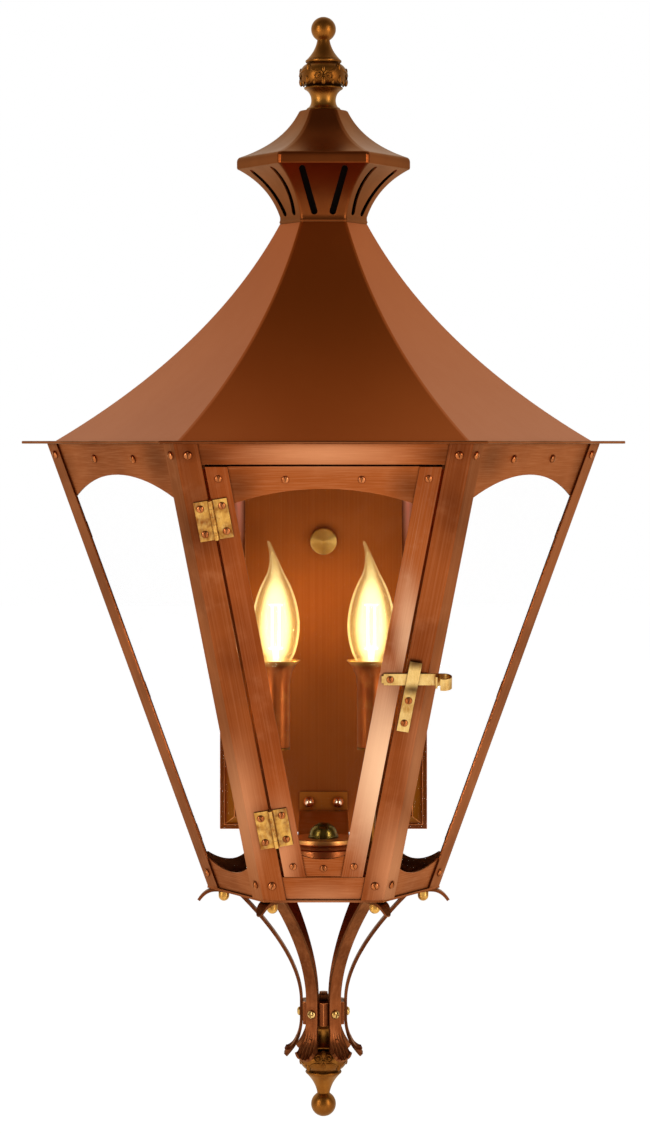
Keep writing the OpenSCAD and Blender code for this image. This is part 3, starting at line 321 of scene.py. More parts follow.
p_change = math_node(patina, "ADD", fade(patina, p_big.outputs[0], 0.3, 0.7, 0.07, -0.05),
                     fade(patina, p_in["Grain"], 0.3, 0.7, 0.06, -0.04))
p_change = math_node(patina, "MULTIPLY", p_change, p_in["Gloss Change"])
p_rough = math_node(patina, "ADD", p_in["Gloss"], p_change)
p_rough = math_node(patina, "ADD", p_rough, math_node(patina, "MULTIPLY", p_shade_and_stain, 0.25))
add_node(patina, "NodeGroupOutput", {"Color": tone, "Roughness": p_rough})
print("group", patina.name, "is ready")

# %% [markdown]
# Some places get a painted highlight, such as the middle of the top rail, and some are darker,
# such as the copper round the hinges. A third group marks such a place: it measures how
# far a point lies from the middle of the place, in shares of its reach, and fades out to the rim.

# %% A group for a place with a painted highlight or a darker tone
spot_group = new_group(
    "marked_place",
    [("Place", "NodeSocketVector", None), ("Middle", "NodeSocketVector", None),
     ("Reach", "NodeSocketVector", None), ("Amount", "NodeSocketFloat", 0.5)],
    [("Share", "NodeSocketFloat")],
)
s_in = add_node(spot_group, "NodeGroupInput").outputs
s_away = add_node(spot_group, "ShaderNodeVectorMath",
                  {0: s_in["Place"], 1: s_in["Middle"]}, operation="SUBTRACT")
s_share = add_node(spot_group, "ShaderNodeVectorMath",
                   {0: s_away.outputs[0], 1: s_in["Reach"]}, operation="DIVIDE")
s_far = add_node(spot_group, "ShaderNodeVectorMath", {0: s_share.outputs[0]}, operation="LENGTH")
s_fade = fade(spot_group, s_far.outputs["Value"], 1.0, 0.0)
s_out = math_node(spot_group, "MULTIPLY", s_fade, s_in["Amount"])
add_node(spot_group, "NodeGroupOutput", {"Share": s_out})
print("group", spot_group.name, "is ready")


# %% [markdown]
# A metal finish is then a small material: the groups, a mapping node that turns the grain to lie
# along its strip, a bump so faint that it only breaks up the reflections, and the metal shader.
# Its specular tint keeps the shine of glancing views coppery instead of white.

# %% A maker for metal finishes
def linear(r, g, b):
    """A colour picked on screen, from 0 to 255, as the light values that shaders use."""
    return tuple(((c / 255 + 0.055) / 1.055) ** 2.4 if c > 10 else c / 255 / 12.92
                 for c in (r, g, b)) + (1.0,)


def metal(name, dark, mid, light, grime_and_shade, grain_lie=(0, 0, 1), across=900.0, along=12.0, patches=14.0,
          grain_share=0.16, gloss=0.36, relief=0.06, corner_shade_reach=0.004, painted_highlights=(), shade_and_stains=(),
          glance=(1.0, 0.80, 0.62), gloss_change=0.7):
    """A metal finish from four screen colours, whose grain runs along grain_lie.

    Painted highlights and darker places (painted shade and stains) are given as middle, reach and amount, in
    lantern millimetres.
    """
    made = bpy.data.materials.new(name)
    made.use_nodes = True
    made.node_tree.nodes.clear()
    t = made.node_tree
    place = add_node(t, "ShaderNodeTexCoord").outputs["Object"]
    turn = Vector(grain_lie).normalized().rotation_difference(Vector((0, 0, 1))).to_euler()
    turned = add_node(t, "ShaderNodeMapping", {"Vector": place, "Rotation": turn})
    grain = add_node(t, "ShaderNodeGroup", node_tree=grain_group)
    t.links.new(turned.outputs[0], grain.inputs["Place"])
    grain.inputs["Across"].default_value, grain.inputs["Along"].default_value = across, along
    # Ambient occlusion finds the sheltered corners, which get painted shade with grime.
    open_air = add_node(t, "ShaderNodeAmbientOcclusion", {"Distance": corner_shade_reach}, samples=6)
    skin = add_node(t, "ShaderNodeGroup", node_tree=patina)
    for label, value in (("Dark", linear(*dark)), ("Mid", linear(*mid)), ("Light", linear(*light)),
                         ("Grime", linear(*grime_and_shade)), ("Patches", patches), ("Grain Share", grain_share),
                         ("Gloss", gloss), ("Gloss Change", gloss_change)):
        skin.inputs[label].default_value = value
    t.links.new(place, skin.inputs["Place"])
    t.links.new(grain.outputs["Grain"], skin.inputs["Grain"])
    t.links.new(open_air.outputs["AO"], skin.inputs["Open"])
    for label, marks in (("Polish", painted_highlights), ("Stain", shade_and_stains)):
        share = None
        for middle, reach, amount in marks:
            spot = add_node(t, "ShaderNodeGroup", node_tree=spot_group)
            spot.inputs["Middle"].default_value = LANTERN @ Vector(middle)
            spot.inputs["Reach"].default_value = Vector(reach) * MM
            spot.inputs["Amount"].default_value = amount
            t.links.new(place, spot.inputs["Place"])
            share = math_node(t, "MAXIMUM", share, spot.outputs[0]) if share else spot.outputs[0]
        if share:
            t.links.new(share, skin.inputs[label])
    bump = add_node(t, "ShaderNodeBump",
                    {"Strength": relief, "Distance": 0.0002, "Height": grain.outputs["Grain"]})
    shader = add_node(t, "ShaderNodeBsdfPrincipled", {
        "Base Color": skin.outputs["Color"], "Metallic": 1.0, "Roughness": skin.outputs["Roughness"],
        "Normal": bump.outputs[0]})
    shader.inputs["Specular Tint"].default_value = glance + (1.0,)
    add_node(t, "ShaderNodeOutputMaterial", {"Surface": shader.outputs[0]})
    return made


# %% [markdown]
# The lantern needs one copper for each lie of its grain: level on rails and bands, upright on the
# back panel, leaning on each front post and stile. Painted highlights turn the copper light on
# parts of the rails, posts and stiles, and beside a hinge, a latch, a screw or the eaves it is
# darker. These places of the frame are listed first.

# %% Painted highlights and darker places on the frame
brown, mid_copper, light_copper = (124, 56, 20), (152, 76, 32), (216, 146, 100)
# The grime colour also serves as painted shade in corners and marked places.
copper_grime_and_shade = (58, 24, 8)


def post_direction(k):
    """The lie of the corner post between face k and the next one."""
    a = math.radians(60 * k - 60)
    reach = body_top_r - body_bottom_r
    return Vector((reach * math.cos(a), reach * math.sin(a), body_h))


# Painted highlights on the middle of the top and bottom rails.
rail_highlights = [((0, -172, -8), (84, 60, 15), 0.6), ((0, -76, -332), (44, 30, 26), 0.55)]
# Darker places near the ends of the rails and on the bands.
rail_darkening = [((side * x, y, z), reach, amount) for side in (-1, 1) for (x, y, z), reach, amount in (
    ((86, -174, -9), (34, 40, 18), 0.6), ((60, -170, -32), (24, 30, 22), 0.6),
    ((118, -150, -12), (26, 44, 24), 0.5), ((190, -14, -22), (16, 44, 30), 0.4),
    ((50, -74, -318), (14, 22, 16), 0.6), ((31, -76, -332), (10, 14, 16), 0.55))]
# Darker places near the tops of the front posts, the hinges and the latch.
post_darkening = {0: [((60, -126, -172), (22, 26, 32), 0.5), ((92, -170, -6), (22, 30, 16), 0.4),
                  ((88, -160, -40), (20, 40, 60), 0.3)],
              5: [((-84, -160, -55), (22, 30, 32), 0.55), ((-38, -98, -272), (20, 26, 28), 0.45),
                  ((-92, -170, -6), (22, 30, 16), 0.4), ((-88, -160, -40), (24, 40, 60), 0.35)]}
# Painted highlights on the posts and the right stile.
post_highlights = {0: [((66, -110, -250), (14, 60, 100), 0.35), ((52, -84, -310), (26, 50, 70), 0.6)],
               5: [((-60, -100, -280), (24, 54, 96), 0.7)]}
right_stile_highlights = [((42, -104, -232), (40, 70, 112), 0.9), ((58, -132, -130), (14, 40, 70), 0.5)]
print("marked places on the posts:", sum(len(m) for m in (*post_darkening.values(), *post_highlights.values())))

# %% Brushed copper of the frame
copper_level = metal("copper_level_grain", brown, mid_copper, light_copper, copper_grime_and_shade,
                     across=40.0, along=1700.0, patches=9.0, painted_highlights=rail_highlights, shade_and_stains=rail_darkening)
leaning = {"across": 1300.0, "along": 9.0, "patches": 12.0}
copper_post = [metal(f"copper_post_grain_{k}", (110, 49, 17), (140, 69, 29), light_copper, copper_grime_and_shade,
                     grain_lie=post_direction(k), grain_share=0.09, painted_highlights=post_highlights.get(k, ()),
                     shade_and_stains=post_darkening.get(k, ()), **leaning) for k in range(6)]
copper_stile_left = metal("copper_stile_left", (112, 48, 16), (140, 66, 26), light_copper, copper_grime_and_shade,
                          grain_lie=post_direction(5), grain_share=0.09,
                          painted_highlights=[((-30, -88, -300), (18, 34, 80), 0.6)], shade_and_stains=post_darkening[5], **leaning)
# The right stile's lighter light tone is for its painted highlights.
copper_stile_right = metal("copper_stile_right", brown, mid_copper, (236, 186, 144), copper_grime_and_shade,
                           grain_lie=post_direction(0), grain_share=0.1,
                           painted_highlights=right_stile_highlights, shade_and_stains=post_darkening[0], **leaning)
print("brushed copper for", len(copper_post), "posts, two stiles and the level strips")

# %% [markdown]
# The wall plate, the back panel and the bracket stand behind the lantern and see less of the
# room. The panel has painted shade in its upper corners and round the knob, where the roof
# shelters it, and the plate's sides have a painted pink reflection in two narrow strips.

# %% Copper behind the lantern
upright = {"across": 1100.0, "along": 3.0}
# The narrow strips on the plate's sides are a painted pink reflection, in the plate's light tone.
copper_wall = metal("copper_wall_plate", (96, 43, 13), (120, 57, 20), (244, 154, 124), (58, 24, 8),
                    patches=7.0, grain_share=0.0, glance=(0.9, 0.66, 0.46),
                    painted_highlights=[((side * 67, 180, -44), (6, 14, 62), 0.95) for side in (-1, 1)], **upright)
# The panel's darker upper corners and the place round the knob are painted shade.
copper_panel = metal("copper_back_panel", (142, 70, 24), (166, 86, 34), (206, 128, 76), (72, 30, 8),
                     patches=6.0, grain_share=0.08, gloss=0.42,
                     shade_and_stains=[((side * 58, 178, -20), (20, 20, 34), 0.55) for side in (-1, 1)]
                     + [((0, 178, -78), (20, 20, 20), 0.35)], **upright)
copper_bracket = metal("copper_bracket", (150, 82, 26), (170, 96, 32), (206, 138, 76), (96, 42, 12),
                       across=40.0, along=900.0, patches=9.0, grain_share=0.06, gloss=0.46)
print("finishes behind:", copper_wall.name, copper_panel.name, copper_bracket.name)

# %% [markdown]
# Roof, cap and collar are smooth and even, with a soft satin shine and hardly any grain. A broad
# roof face shows every change of gloss, so its gloss is kept nearly constant.

# %% Copper of the roof
copper_roof = metal("copper_roof", (157, 70, 21), (167, 79, 26), (182, 96, 42), (96, 36, 6),
                    across=90.0, along=2.0, patches=3.0, grain_share=0.0, gloss=0.40, relief=0.0,
                    corner_shade_reach=0.006, glance=(1.0, 0.90, 0.72), gloss_change=0.12)
# The band of the cap has a painted highlight along its lower rim.
copper_cap = metal("copper_cap", (102, 45, 14), (116, 53, 19), (160, 88, 40), (60, 24, 6),
                   across=90.0, along=6.0, patches=10.0, grain_share=0.02, gloss=0.36, relief=0.01,
                   corner_shade_reach=0.003, glance=(1.0, 0.82, 0.62), gloss_change=0.3,
                   painted_highlights=[((0, 0, 202.5), (90, 90, 5.5), 0.55)])
# The collar's tones are darker than the roof's, as painted shade under the crown's brim.
copper_collar = metal("copper_collar", (104, 51, 19), (122, 62, 26), (150, 82, 40), (56, 22, 6),
                      across=90.0, along=6.0, patches=14.0, grain_share=0.04, gloss=0.38, relief=0.01,
                      corner_shade_reach=0.004, glance=(1.0, 0.82, 0.64), gloss_change=0.3)
copper_rim = metal("copper_soft_rim", (136, 66, 28), (160, 84, 38), (186, 108, 58), brown,
                   across=300.0, along=60.0, patches=60.0, grain_share=0.05, gloss=0.34, relief=0.01,
                   corner_shade_reach=0.001)
print("roof finishes:", [m.name for m in (copper_roof, copper_cap, copper_collar, copper_rim)])

# %% [markdown]
# The worn copper is for the folds and rims of the sheets. The small pieces have their own shades:
# nearly black for the hub, brown for what is cast or bent in the fire, a rubbed head on each
# screw, and a painted golden highlight on the lips of the cup and the sleeves, for the lamps'
# light from above.

# %% Copper of edges and small pieces
spun = {"across": 300.0, "along": 40.0, "patches": 20.0, "grain_share": 0.03, "relief": 0.02}
copper_worn = metal("copper_worn_edge", (176, 96, 46), (214, 128, 70), (238, 164, 110), brown,
                    across=500.0, along=120.0, patches=90.0, gloss=0.27, corner_shade_reach=0.001)
copper_dark = metal("copper_dark", (78, 36, 14), (104, 50, 22), (150, 88, 50), (40, 18, 8),
                    across=600.0, along=60.0, patches=60.0)
copper_cast = metal("copper_cast", (90, 42, 17), (116, 60, 28), (164, 102, 62), (44, 20, 8),
                    across=500.0, along=30.0, patches=45.0, gloss=0.38, corner_shade_reach=0.003)
copper_screw = metal("copper_screw", (122, 60, 24), (176, 98, 50), (232, 162, 108), (40, 17, 6),
                     across=300.0, along=60.0, patches=150.0, gloss=0.24, relief=0.02, corner_shade_reach=0.003)
copper_bright = metal("copper_bright_nut", (206, 150, 112), (236, 196, 162), (252, 226, 204), (110, 56, 30),
                      across=300.0, along=60.0, patches=60.0, grain_share=0.04, gloss=0.2, relief=0.0)
# The cup's upper rim and the sleeves' lips get a painted golden highlight of the lamps' light.
copper_cup = metal("copper_cup", (176, 88, 42), (204, 112, 60), (250, 190, 100), (96, 42, 14),
                   gloss=0.42, painted_highlights=[((0, 0, -290.5), (60, 60, 3.5), 0.7)], **spun)
copper_spun = metal("copper_spun", (134, 62, 24), (164, 80, 34), (250, 190, 96), copper_grime_and_shade, gloss=0.40,
                    painted_highlights=[((side * 35.0, 0, -158.5), (70, 70, 6.0), 1.0) for side in (-1, 1)], **spun)
print("small finishes:", [m.name for m in (copper_worn, copper_dark, copper_cast, copper_screw)])

# %% [markdown]
# The brass is of three kinds. Hinges and latch are polished sheet, gone blotchy with age. The
# finials are castings, with painted shade and grime in their hollows and painted highlights on the
# foot and the ball. The knob was turned on a lathe, so its fine rings spread each highlight into a
# wedge. The anisotropic setting of the metal shader does that, with its direction taken round the
# knob's own axis.

# %% Brass finishes
brass_glance = (1.0, 0.92, 0.74)
brass_tones = (168, 120, 56), (210, 170, 100), (242, 216, 156)
sheet_brass = {"across": 700.0, "along": 40.0, "patches": 60.0, "gloss": 0.25, "relief": 0.05,
               "corner_shade_reach": 0.003, "glance": brass_glance}
brass_bright = metal("brass_bright", *brass_tones, (104, 58, 18), **sheet_brass)
brass_mottled = metal("brass_mottled", (128, 70, 24), (204, 150, 70), (248, 216, 138), (84, 42, 14),
                      across=500.0, along=90.0, patches=110.0, gloss=0.27, corner_shade_reach=0.003,
                      glance=brass_glance)
# The keeper has painted shade at its top end and just under the bar.
brass_keeper = metal("brass_keeper", *brass_tones, (62, 30, 12), **sheet_brass,
                     shade_and_stains=[((64, -126, -152), (14, 30, 7), 0.95), ((62, -126, -171.5), (14, 30, 6), 0.9)])
# Painted highlights on the finials' foot and ball.
finial_highlights = [((0, 0, 250), (16, 16, 9), 0.6), ((0, 0, 303), (8, 8, 9), 0.25),
                 ((0, 0, -432), (16, 16, 9), 0.5)]
brass_antique = metal("brass_antique", (108, 60, 18), (138, 82, 28), (206, 146, 66), (34, 16, 3),
                      across=300.0, along=60.0, patches=30.0, grain_share=0.05, gloss=0.37,
                      relief=0.02, corner_shade_reach=0.006, painted_highlights=finial_highlights, glance=brass_glance)
brass_knob = metal("brass_knob", (184, 132, 60), (216, 170, 90), (246, 220, 152), (104, 58, 18),
                   across=300.0, along=60.0, patches=40.0, grain_share=0.0, gloss=0.42,
                   relief=0.0, corner_shade_reach=0.002, glance=brass_glance)
knob_shader = brass_knob.node_tree.nodes["Principled BSDF"]
knob_shader.inputs["Anisotropic"].default_value = 0.92
knob_shader.inputs["Anisotropic Rotation"].default_value = 0.25
turning = add_node(brass_knob.node_tree, "ShaderNodeTangent", direction_type="RADIAL", axis="Y")
brass_knob.node_tree.links.new(turning.outputs[0], knob_shader.inputs["Tangent"])
brass_olive = metal("brass_olive", (70, 50, 14), (108, 86, 34), (190, 160, 84), (30, 20, 8),
                    across=300.0, along=60.0, patches=60.0, gloss=0.28, relief=0.02,
                    corner_shade_reach=0.005, glance=brass_glance)
print("brass finishes:", [m.name for m in (brass_bright, brass_mottled, brass_antique, brass_knob)])

# %% [markdown]
# Three pieces are neither copper nor brass: the zinc of the mounting bar, the black plastic of
# the lamp sockets, and the tube behind the vent slots, whose near-black finish is painted shade
# that swallows the light.

# %% Zinc, plastic and painted shade
zinc = metal("zinc_plate", (120, 122, 124), (165, 168, 170), (200, 202, 205), (70, 70, 70),
             across=300.0, along=80.0, patches=200.0, gloss=0.4)
socket_finish = metal("socket_finish", (30, 28, 26), (44, 41, 38), (60, 56, 52), (18, 16, 15),
                      patches=120.0, gloss=0.5)
# The liner's near-black finish is painted shade behind the slots.
liner_finish = metal("liner_finish", (8, 5, 4), (11, 7, 5), (16, 11, 8), (4, 3, 2), patches=60.0, gloss=0.8)
for finish in (socket_finish, liner_finish):
    finish.node_tree.nodes["Principled BSDF"].inputs["Metallic"].default_value = 0.0
liner_finish.node_tree.nodes["Principled BSDF"].inputs["Specular IOR Level"].default_value = 0.1
print("plain finishes:", zinc.name, socket_finish.name, liner_finish.name)

# %% [markdown]
# Panes and lamps are clear. A pane is so thin and so square to the view that it only needs a
# trace of reflection, so the shader is nearly all alpha. Lamp glass is curved: where the view
# glances along it, it is denser and pale gold, and where the view meets it squarely, it carries
# the glow of the strands behind it.

# %% Glass finishes
def plain_material(name, settings):
    """A new material, with some inputs of its shader set."""
    made = bpy.data.materials.new(name)
    made.use_nodes = True
    shader = made.node_tree.nodes["Principled BSDF"]
    for label, value in settings.items():
        shader.inputs[label].default_value = value
    return made, made.node_tree, shader


def object_height(t):
    """The height of a point of the piece, as a socket."""
    place = add_node(t, "ShaderNodeTexCoord").outputs["Object"]
    return add_node(t, "ShaderNodeSeparateXYZ", {0: place}).outputs["Z"]


def clear_pane(name):
    """Thin clear sheet glass with a faint smear in its gloss."""
    made, t, shader = plain_material(name, {
        "Base Color": (0.97, 0.99, 0.98, 1), "Transmission Weight": 1.0, "IOR": 1.45})
    place = add_node(t, "ShaderNodeTexCoord").outputs["Object"]
    smear = add_node(t, "ShaderNodeTexNoise", {"Vector": place, "Scale": 9.0, "Detail": 4.0})
    t.links.new(fade(t, smear.outputs[0], 0.4, 0.7, 0.015, 0.07), shader.inputs["Roughness"])
    t.links.new(fade(t, smear.outputs[0], 0.35, 0.75, 0.0010, 0.0030), shader.inputs["Alpha"])
    return made


pane_glass = clear_pane("pane_glass")
sleeve_top_z = -159.6
lamp_low_z = (sleeve_top_z + eaves_over_box) * MM


def lamp_glass_material(name):
    """Clear lamp glass: pale gold rims, and the strands' glow in the middle of the view."""
    made, t, shader = plain_material(name, {
        "Base Color": (0.85, 0.66, 0.22, 1), "Emission Strength": 1.0, "Roughness": 0.03})
    height = object_height(t)
    upper = fade(t, height, lamp_low_z + 0.076, lamp_low_z + 0.046)
    glancing = add_node(t, "ShaderNodeLayerWeight", {"Blend": 0.35}).outputs["Facing"]
    core = math_node(t, "MULTIPLY", fade(t, glancing, 0.27, 0.02), upper)
    halo = fade(t, glancing, 0.42, 0.05)
    rim = fade(t, glancing, 0.4, 0.95)
    cover = math_node(t, "ADD", math_node(t, "MULTIPLY", core, 0.10),
                      math_node(t, "MULTIPLY", halo, 0.045))
    cover = math_node(t, "ADD", cover, math_node(t, "MULTIPLY", rim, 0.40))
    t.links.new(math_node(t, "ADD", cover, 0.03), shader.inputs["Alpha"])
    warm = mix_color(t, upper, (1.2, 0.93, 0.32, 1), (1.15, 0.90, 0.34, 1))
    t.links.new(mix_color(t, core, warm, (3.0, 2.5, 1.15, 1)), shader.inputs["Emission Color"])
    return made


def strand_material(name):
    """A strand that glows pale yellow, a little dimmer at both ends."""
    made, t, shader = plain_material(name, {"Base Color": (1.0, 0.9, 0.6, 1), "Emission Strength": 1.0})
    up = fade(t, object_height(t), lamp_low_z - 0.004, lamp_low_z + 0.014)
    glow = mix_color(t, up, (0.9, 0.55, 0.2, 1), (3.4, 2.9, 1.8, 1))
    t.links.new(glow, shader.inputs["Emission Color"])
    return made


lamp_glass_finish = lamp_glass_material("lamp_glass_finish")
strand_finish = strand_material("strand_finish")
print("glass and lamp finishes are ready")

# %% [markdown]
# ## Helpers at the bench
# Blender's operators act on what is selected, so each step starts by clearing the selection and
# picking one object. Sheet pieces start from a copy of the measured node: its loose triangles are
# merged, flat areas become single faces, and all sharp edges get a small bevel, whose faces take
# the worn finish. That bevel is what catches the light on real folded sheet.

# %% Selecting and seating
def pick(piece):
    """Only this object is selected and active."""
    bpy.ops.object.select_all(action="DESELECT")
    piece.select_set(True)
    bpy.context.view_layer.objects.active = piece


def edit(piece, select=None):
    """Opens a piece for editing, with SELECT or DESELECT for all of it if that is asked."""
    pick(piece)
    bpy.ops.object.mode_set(mode="EDIT")
    if select:
        bpy.ops.mesh.select_all(action=select)


def close_edit(outward=False):
    """Goes back to object mode, first turning all faces outwards if that is asked."""
    if outward:
        bpy.ops.mesh.select_all(action="SELECT")
        bpy.ops.mesh.normals_make_consistent(inside=False)
    bpy.ops.object.mode_set(mode="OBJECT")


def apply_modifiers(piece):
    """Turns every modifier of a piece into mesh."""
    pick(piece)
    for modifier in list(piece.modifiers):
        bpy.ops.object.modifier_apply(modifier=modifier.name)


def apply_place(piece, place=None):
    """Moves a piece's place, or a new one, into its mesh."""
    if place is not None:
        piece.matrix_world = place
    pick(piece)
    bpy.ops.object.transform_apply(location=True, rotation=True, scale=True)


def copy_of(master):
    """A copy of a piece, with a mesh of its own."""
    made = master.copy()
    made.data = master.data.copy()
    bpy.context.scene.collection.objects.link(made)
    return made


def joined(name, parts):
    """Several parts made into one object."""
    bpy.ops.object.select_all(action="DESELECT")
    for part in parts:
        part.select_set(True)
    bpy.context.view_layer.objects.active = parts[0]
    if len(parts) > 1:
        bpy.ops.object.join()
    parts[0].name = name
    return parts[0]


def cut_away(piece, tool, name):
    """Cuts a tool's shape out of a piece, and clears the tool away."""
    cut = piece.modifiers.new(name, "BOOLEAN")
    cut.operation, cut.solver, cut.object = "DIFFERENCE", "EXACT", tool
    apply_modifiers(piece)
    bpy.data.objects.remove(tool)


def smooth(piece, degrees=30.0, weigh=True):
    """Smooth shading between faces that meet at a small angle, led by the large faces."""
    pick(piece)
    bpy.ops.object.shade_smooth_by_angle(angle=math.radians(degrees))
    if weigh:
        weighted = piece.modifiers.new("large_faces_lead", "WEIGHTED_NORMAL")
        weighted.keep_sharp = True
        weighted.weight = 60
        apply_modifiers(piece)


def seat(piece, place=Matrix.Identity(4)):
    """Takes a piece made in millimetres to its place in the frame, with its place in its mesh."""
    apply_place(piece, LANTERN @ place @ piece.matrix_world)
    return piece


def dress(piece, name, body, slot, *materials):
    """Names a finished piece, gives it its finish and its body."""
    piece.name = piece.data.name = name
    if materials:
        piece.data.materials.clear()
        for material in materials:
            piece.data.materials.append(material)
    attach(piece, body)
    return piece


# %% [markdown]
# A fold is told from a cut edge by its place and its length: it is a long edge whose two ends lie
# on a corner line of the body, where the distance from the axis is the greatest for their height.

# %% Easing the edges of a measured sheet
same_point, nearly_flat = 0.000005, 0.4
long_edge, on_corner_line = 0.1, 0.998
sharp_angle = 35.0


def corner_share(point):
    """How far out a point lies, as a share of the corner line's distance at its height."""
    rise = (point.z / MM - eaves_over_box + body_h) / body_h
    corner_r = body_bottom_r + (body_top_r - body_bottom_r) * rise
    return (point.xy - Vector((0, axis_y))).length / corner_r / MM


def eased(node, edge, slot, finish, worn=None, fold=0.0, segments=2, trim=None):
    """A copy of a node with bevelled edges, which then stands for it."""
    source = frame["nodes"][node]
    piece = copy_of(source)
    for key in list(piece.keys()):
        del piece[key]
    piece.parent = None
    piece.matrix_world = Matrix.Identity(4)
    edit(piece, "SELECT")
    bpy.ops.mesh.remove_doubles(threshold=same_point)
    bpy.ops.mesh.customdata_custom_splitnormals_clear()
    bpy.ops.mesh.dissolve_limited(angle_limit=math.radians(nearly_flat))
    if trim:
        b = bmesh.from_edit_mesh(piece.data)
        for v in b.verts:
            v.co = trim(v.co)
        bmesh.update_edit_mesh(piece.data)
    if fold:
        bpy.ops.mesh.select_all(action="DESELECT")
        b = bmesh.from_edit_mesh(piece.data)
        for e in b.edges:
            if e.calc_length() > long_edge and len(e.link_faces) == 2:
                if min(corner_share(v.co) for v in e.verts) > on_corner_line:
                    e.select_set(True)
        bmesh.update_edit_mesh(piece.data)
        bpy.ops.mesh.bevel(offset=fold, segments=4, material=1 if worn else 0)
    close_edit()
    piece.data.materials.clear()
    piece.data.materials.append(finish)
    if worn:
        piece.data.materials.append(worn)
    if edge:
        bevel = piece.modifiers.new("eased_edge", "BEVEL")
        bevel.width, bevel.segments = edge, segments
        bevel.limit_method, bevel.angle_limit = "ANGLE", math.radians(sharp_angle)
        bevel.material = 1 if worn else -1
        apply_modifiers(piece)
    smooth(piece)
    dress(piece, node + "_sheet", source["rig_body"], slot)
    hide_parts(node)
    return piece


# %% [markdown]
# ## The folded frame
# Six corner posts, each one sheet bent along the corner, carry rails and bands. Their folds are
# the brightest lines of the lantern, so the fold gets a rounder bevel than the cut edges.
#
# The two side posts' rear flanges, and what stands on them, are made a little narrower than
# measured, so that nothing of them peeks past the front flanges. Each trim is a rule for a point
# in its face's own plane, and holds only for the rear faces' outer ends.

# %% Trims of the rear faces
flange_w = 16.0
flange_trim, arch_lift, clip_trim = 2.8, 5.0, 3.0
sheet_back, sheet_front, near_line, arch_from = -6.5, 1.0, 0.6, -15.0
clip_back, clip_front, clip_reach, clip_end, clip_blend = -9.0, 0.5, 26.0, 3.0, 8.0


def rear_trim(rule):
    """Makes a trim for points of the frame from a rule for points of a rear face."""
    def trim(point):
        for k in (2, 4):
            to_face = (LANTERN @ face_frame(k)).inverted()
            u, v, n = to_face @ point
            moved = rule(u, v, n) if (k == 2) == (u < 0) else None
            if moved:
                return to_face.inverted() @ Vector(moved)
        return point
    return trim


def narrow_flange(u, v, n):
    """Takes the inner edge of a side post's rear flange outwards."""
    if sheet_back < n < sheet_front and abs(half_width(v) - flange_w - abs(u)) < near_line:
        return u + math.copysign(flange_trim, u), v, n
    return None


def raise_arch(u, v, n):
    """Lifts a rear band's arch towards the side corner."""
    if sheet_back < n < sheet_front and v < arch_from:
        return u, v + arch_lift * abs(u) / half_width(v), n
    return None


def draw_clip_back(u, v, n):
    """Moves the inner end of a clip outwards, as much as the flange it stands on."""
    inset = half_width(v) - abs(u)
    if clip_back < n < clip_front and -1.0 < inset < clip_reach:
        share = min(max((inset - clip_end) / clip_blend, 0.0), 1.0)
        return u + math.copysign(clip_trim * share, u), v, n
    return None


print("trims of the rear faces:", flange_trim, arch_lift, clip_trim, "mm")

# %% Posts, rails and bands
corner_names = ["front_right", "right", "rear_right", "rear_left", "left", "front_left"]
for k, name in enumerate(corner_names):
    eased("post_" + name, 0.00035, "copper", copper_post[k], copper_worn, fold=0.0009,
          trim=rear_trim(narrow_flange) if name in ("right", "left") else None)
for name in ("front_top_rail", "front_bottom_rail", "rear_top_rail", "bottom_bands"):
    eased(name, 0.00042, "copper", copper_level, copper_worn)
eased("top_bands", 0.00042, "copper", copper_level, copper_worn, trim=rear_trim(raise_arch))
eased("door_stile_left", 0.00042, "copper", copper_stile_left, copper_worn)
eased("door_stile_right", 0.00042, "copper", copper_stile_right, copper_worn)
for name in ("door_top_panel", "door_bottom_panel"):
    eased(name, 0.00040, "copper", copper_level, copper_worn)
print("folded frame:", len(corner_names), "posts and their bands")

# %% [markdown]
# The top rail is hemmed: its sheet runs on behind the door's upper edge, so no light shows through
# the gap above the door. The hem is a flat block, squeezed to the rail's taper and eased all round.

# %% Hem of the top rail
hem_low, hem_high, hem_near, hem_far, hem_inset = -21.5, -15.0, 7.4, 8.6, 7.0
bpy.ops.mesh.primitive_cube_add(size=2.0)
hem = bpy.context.active_object
edit(hem)
b = bmesh.from_edit_mesh(hem.data)
for v in b.verts:
    height = hem_high if v.co.y > 0 else hem_low
    v.co = Vector((math.copysign(half_width(height) - hem_inset, v.co.x), height,
                   -hem_near if v.co.z > 0 else -hem_far))
bmesh.update_edit_mesh(hem.data)
bpy.ops.mesh.select_all(action="SELECT")
bpy.ops.mesh.normals_make_consistent(inside=False)
bpy.ops.mesh.bevel(offset=0.25, segments=2)
close_edit()
smooth(hem)
seat(hem, face_frame(0))
# The hem takes the dark copper as painted shade behind the door's upper edge.
dress(hem, "top_rail_hem", "lantern", "copper", copper_dark)
print("hem", round(2 * (half_width(hem_low) - hem_inset), 1), "mm long")

# %% [markdown]
# The plates behind, over and under the body only need their edges eased. The pressed border of
# the wall plate is the softest of them.

# %% Wall plate, back panel, bracket, eave plate and floor
eased("wall_plate", 0.0008, "copper", copper_wall, copper_worn, segments=3)
eased("back_panel", 0.0004, "copper", copper_panel, copper_worn)
eased("support_bracket", 0.0004, "copper", copper_bracket, copper_worn)
eased("eave_plate", 0.0006, "copper", copper_level, copper_cast)
eased("floor_plate", 0.0004, "copper", copper_level, copper_worn)
eased("glass_clips", 0.0, "copper", copper_cast, trim=rear_trim(draw_clip_back))
eased("hub", 0.0006, "dark_copper", copper_dark, copper_worn)
print("plates are eased")

# %% [markdown]
# ## Hinges and latch
# The hinges are small brass butts, and the latch is a bar with a rolled end that drops behind a
# bent strap. All have rounded corners from long polishing.

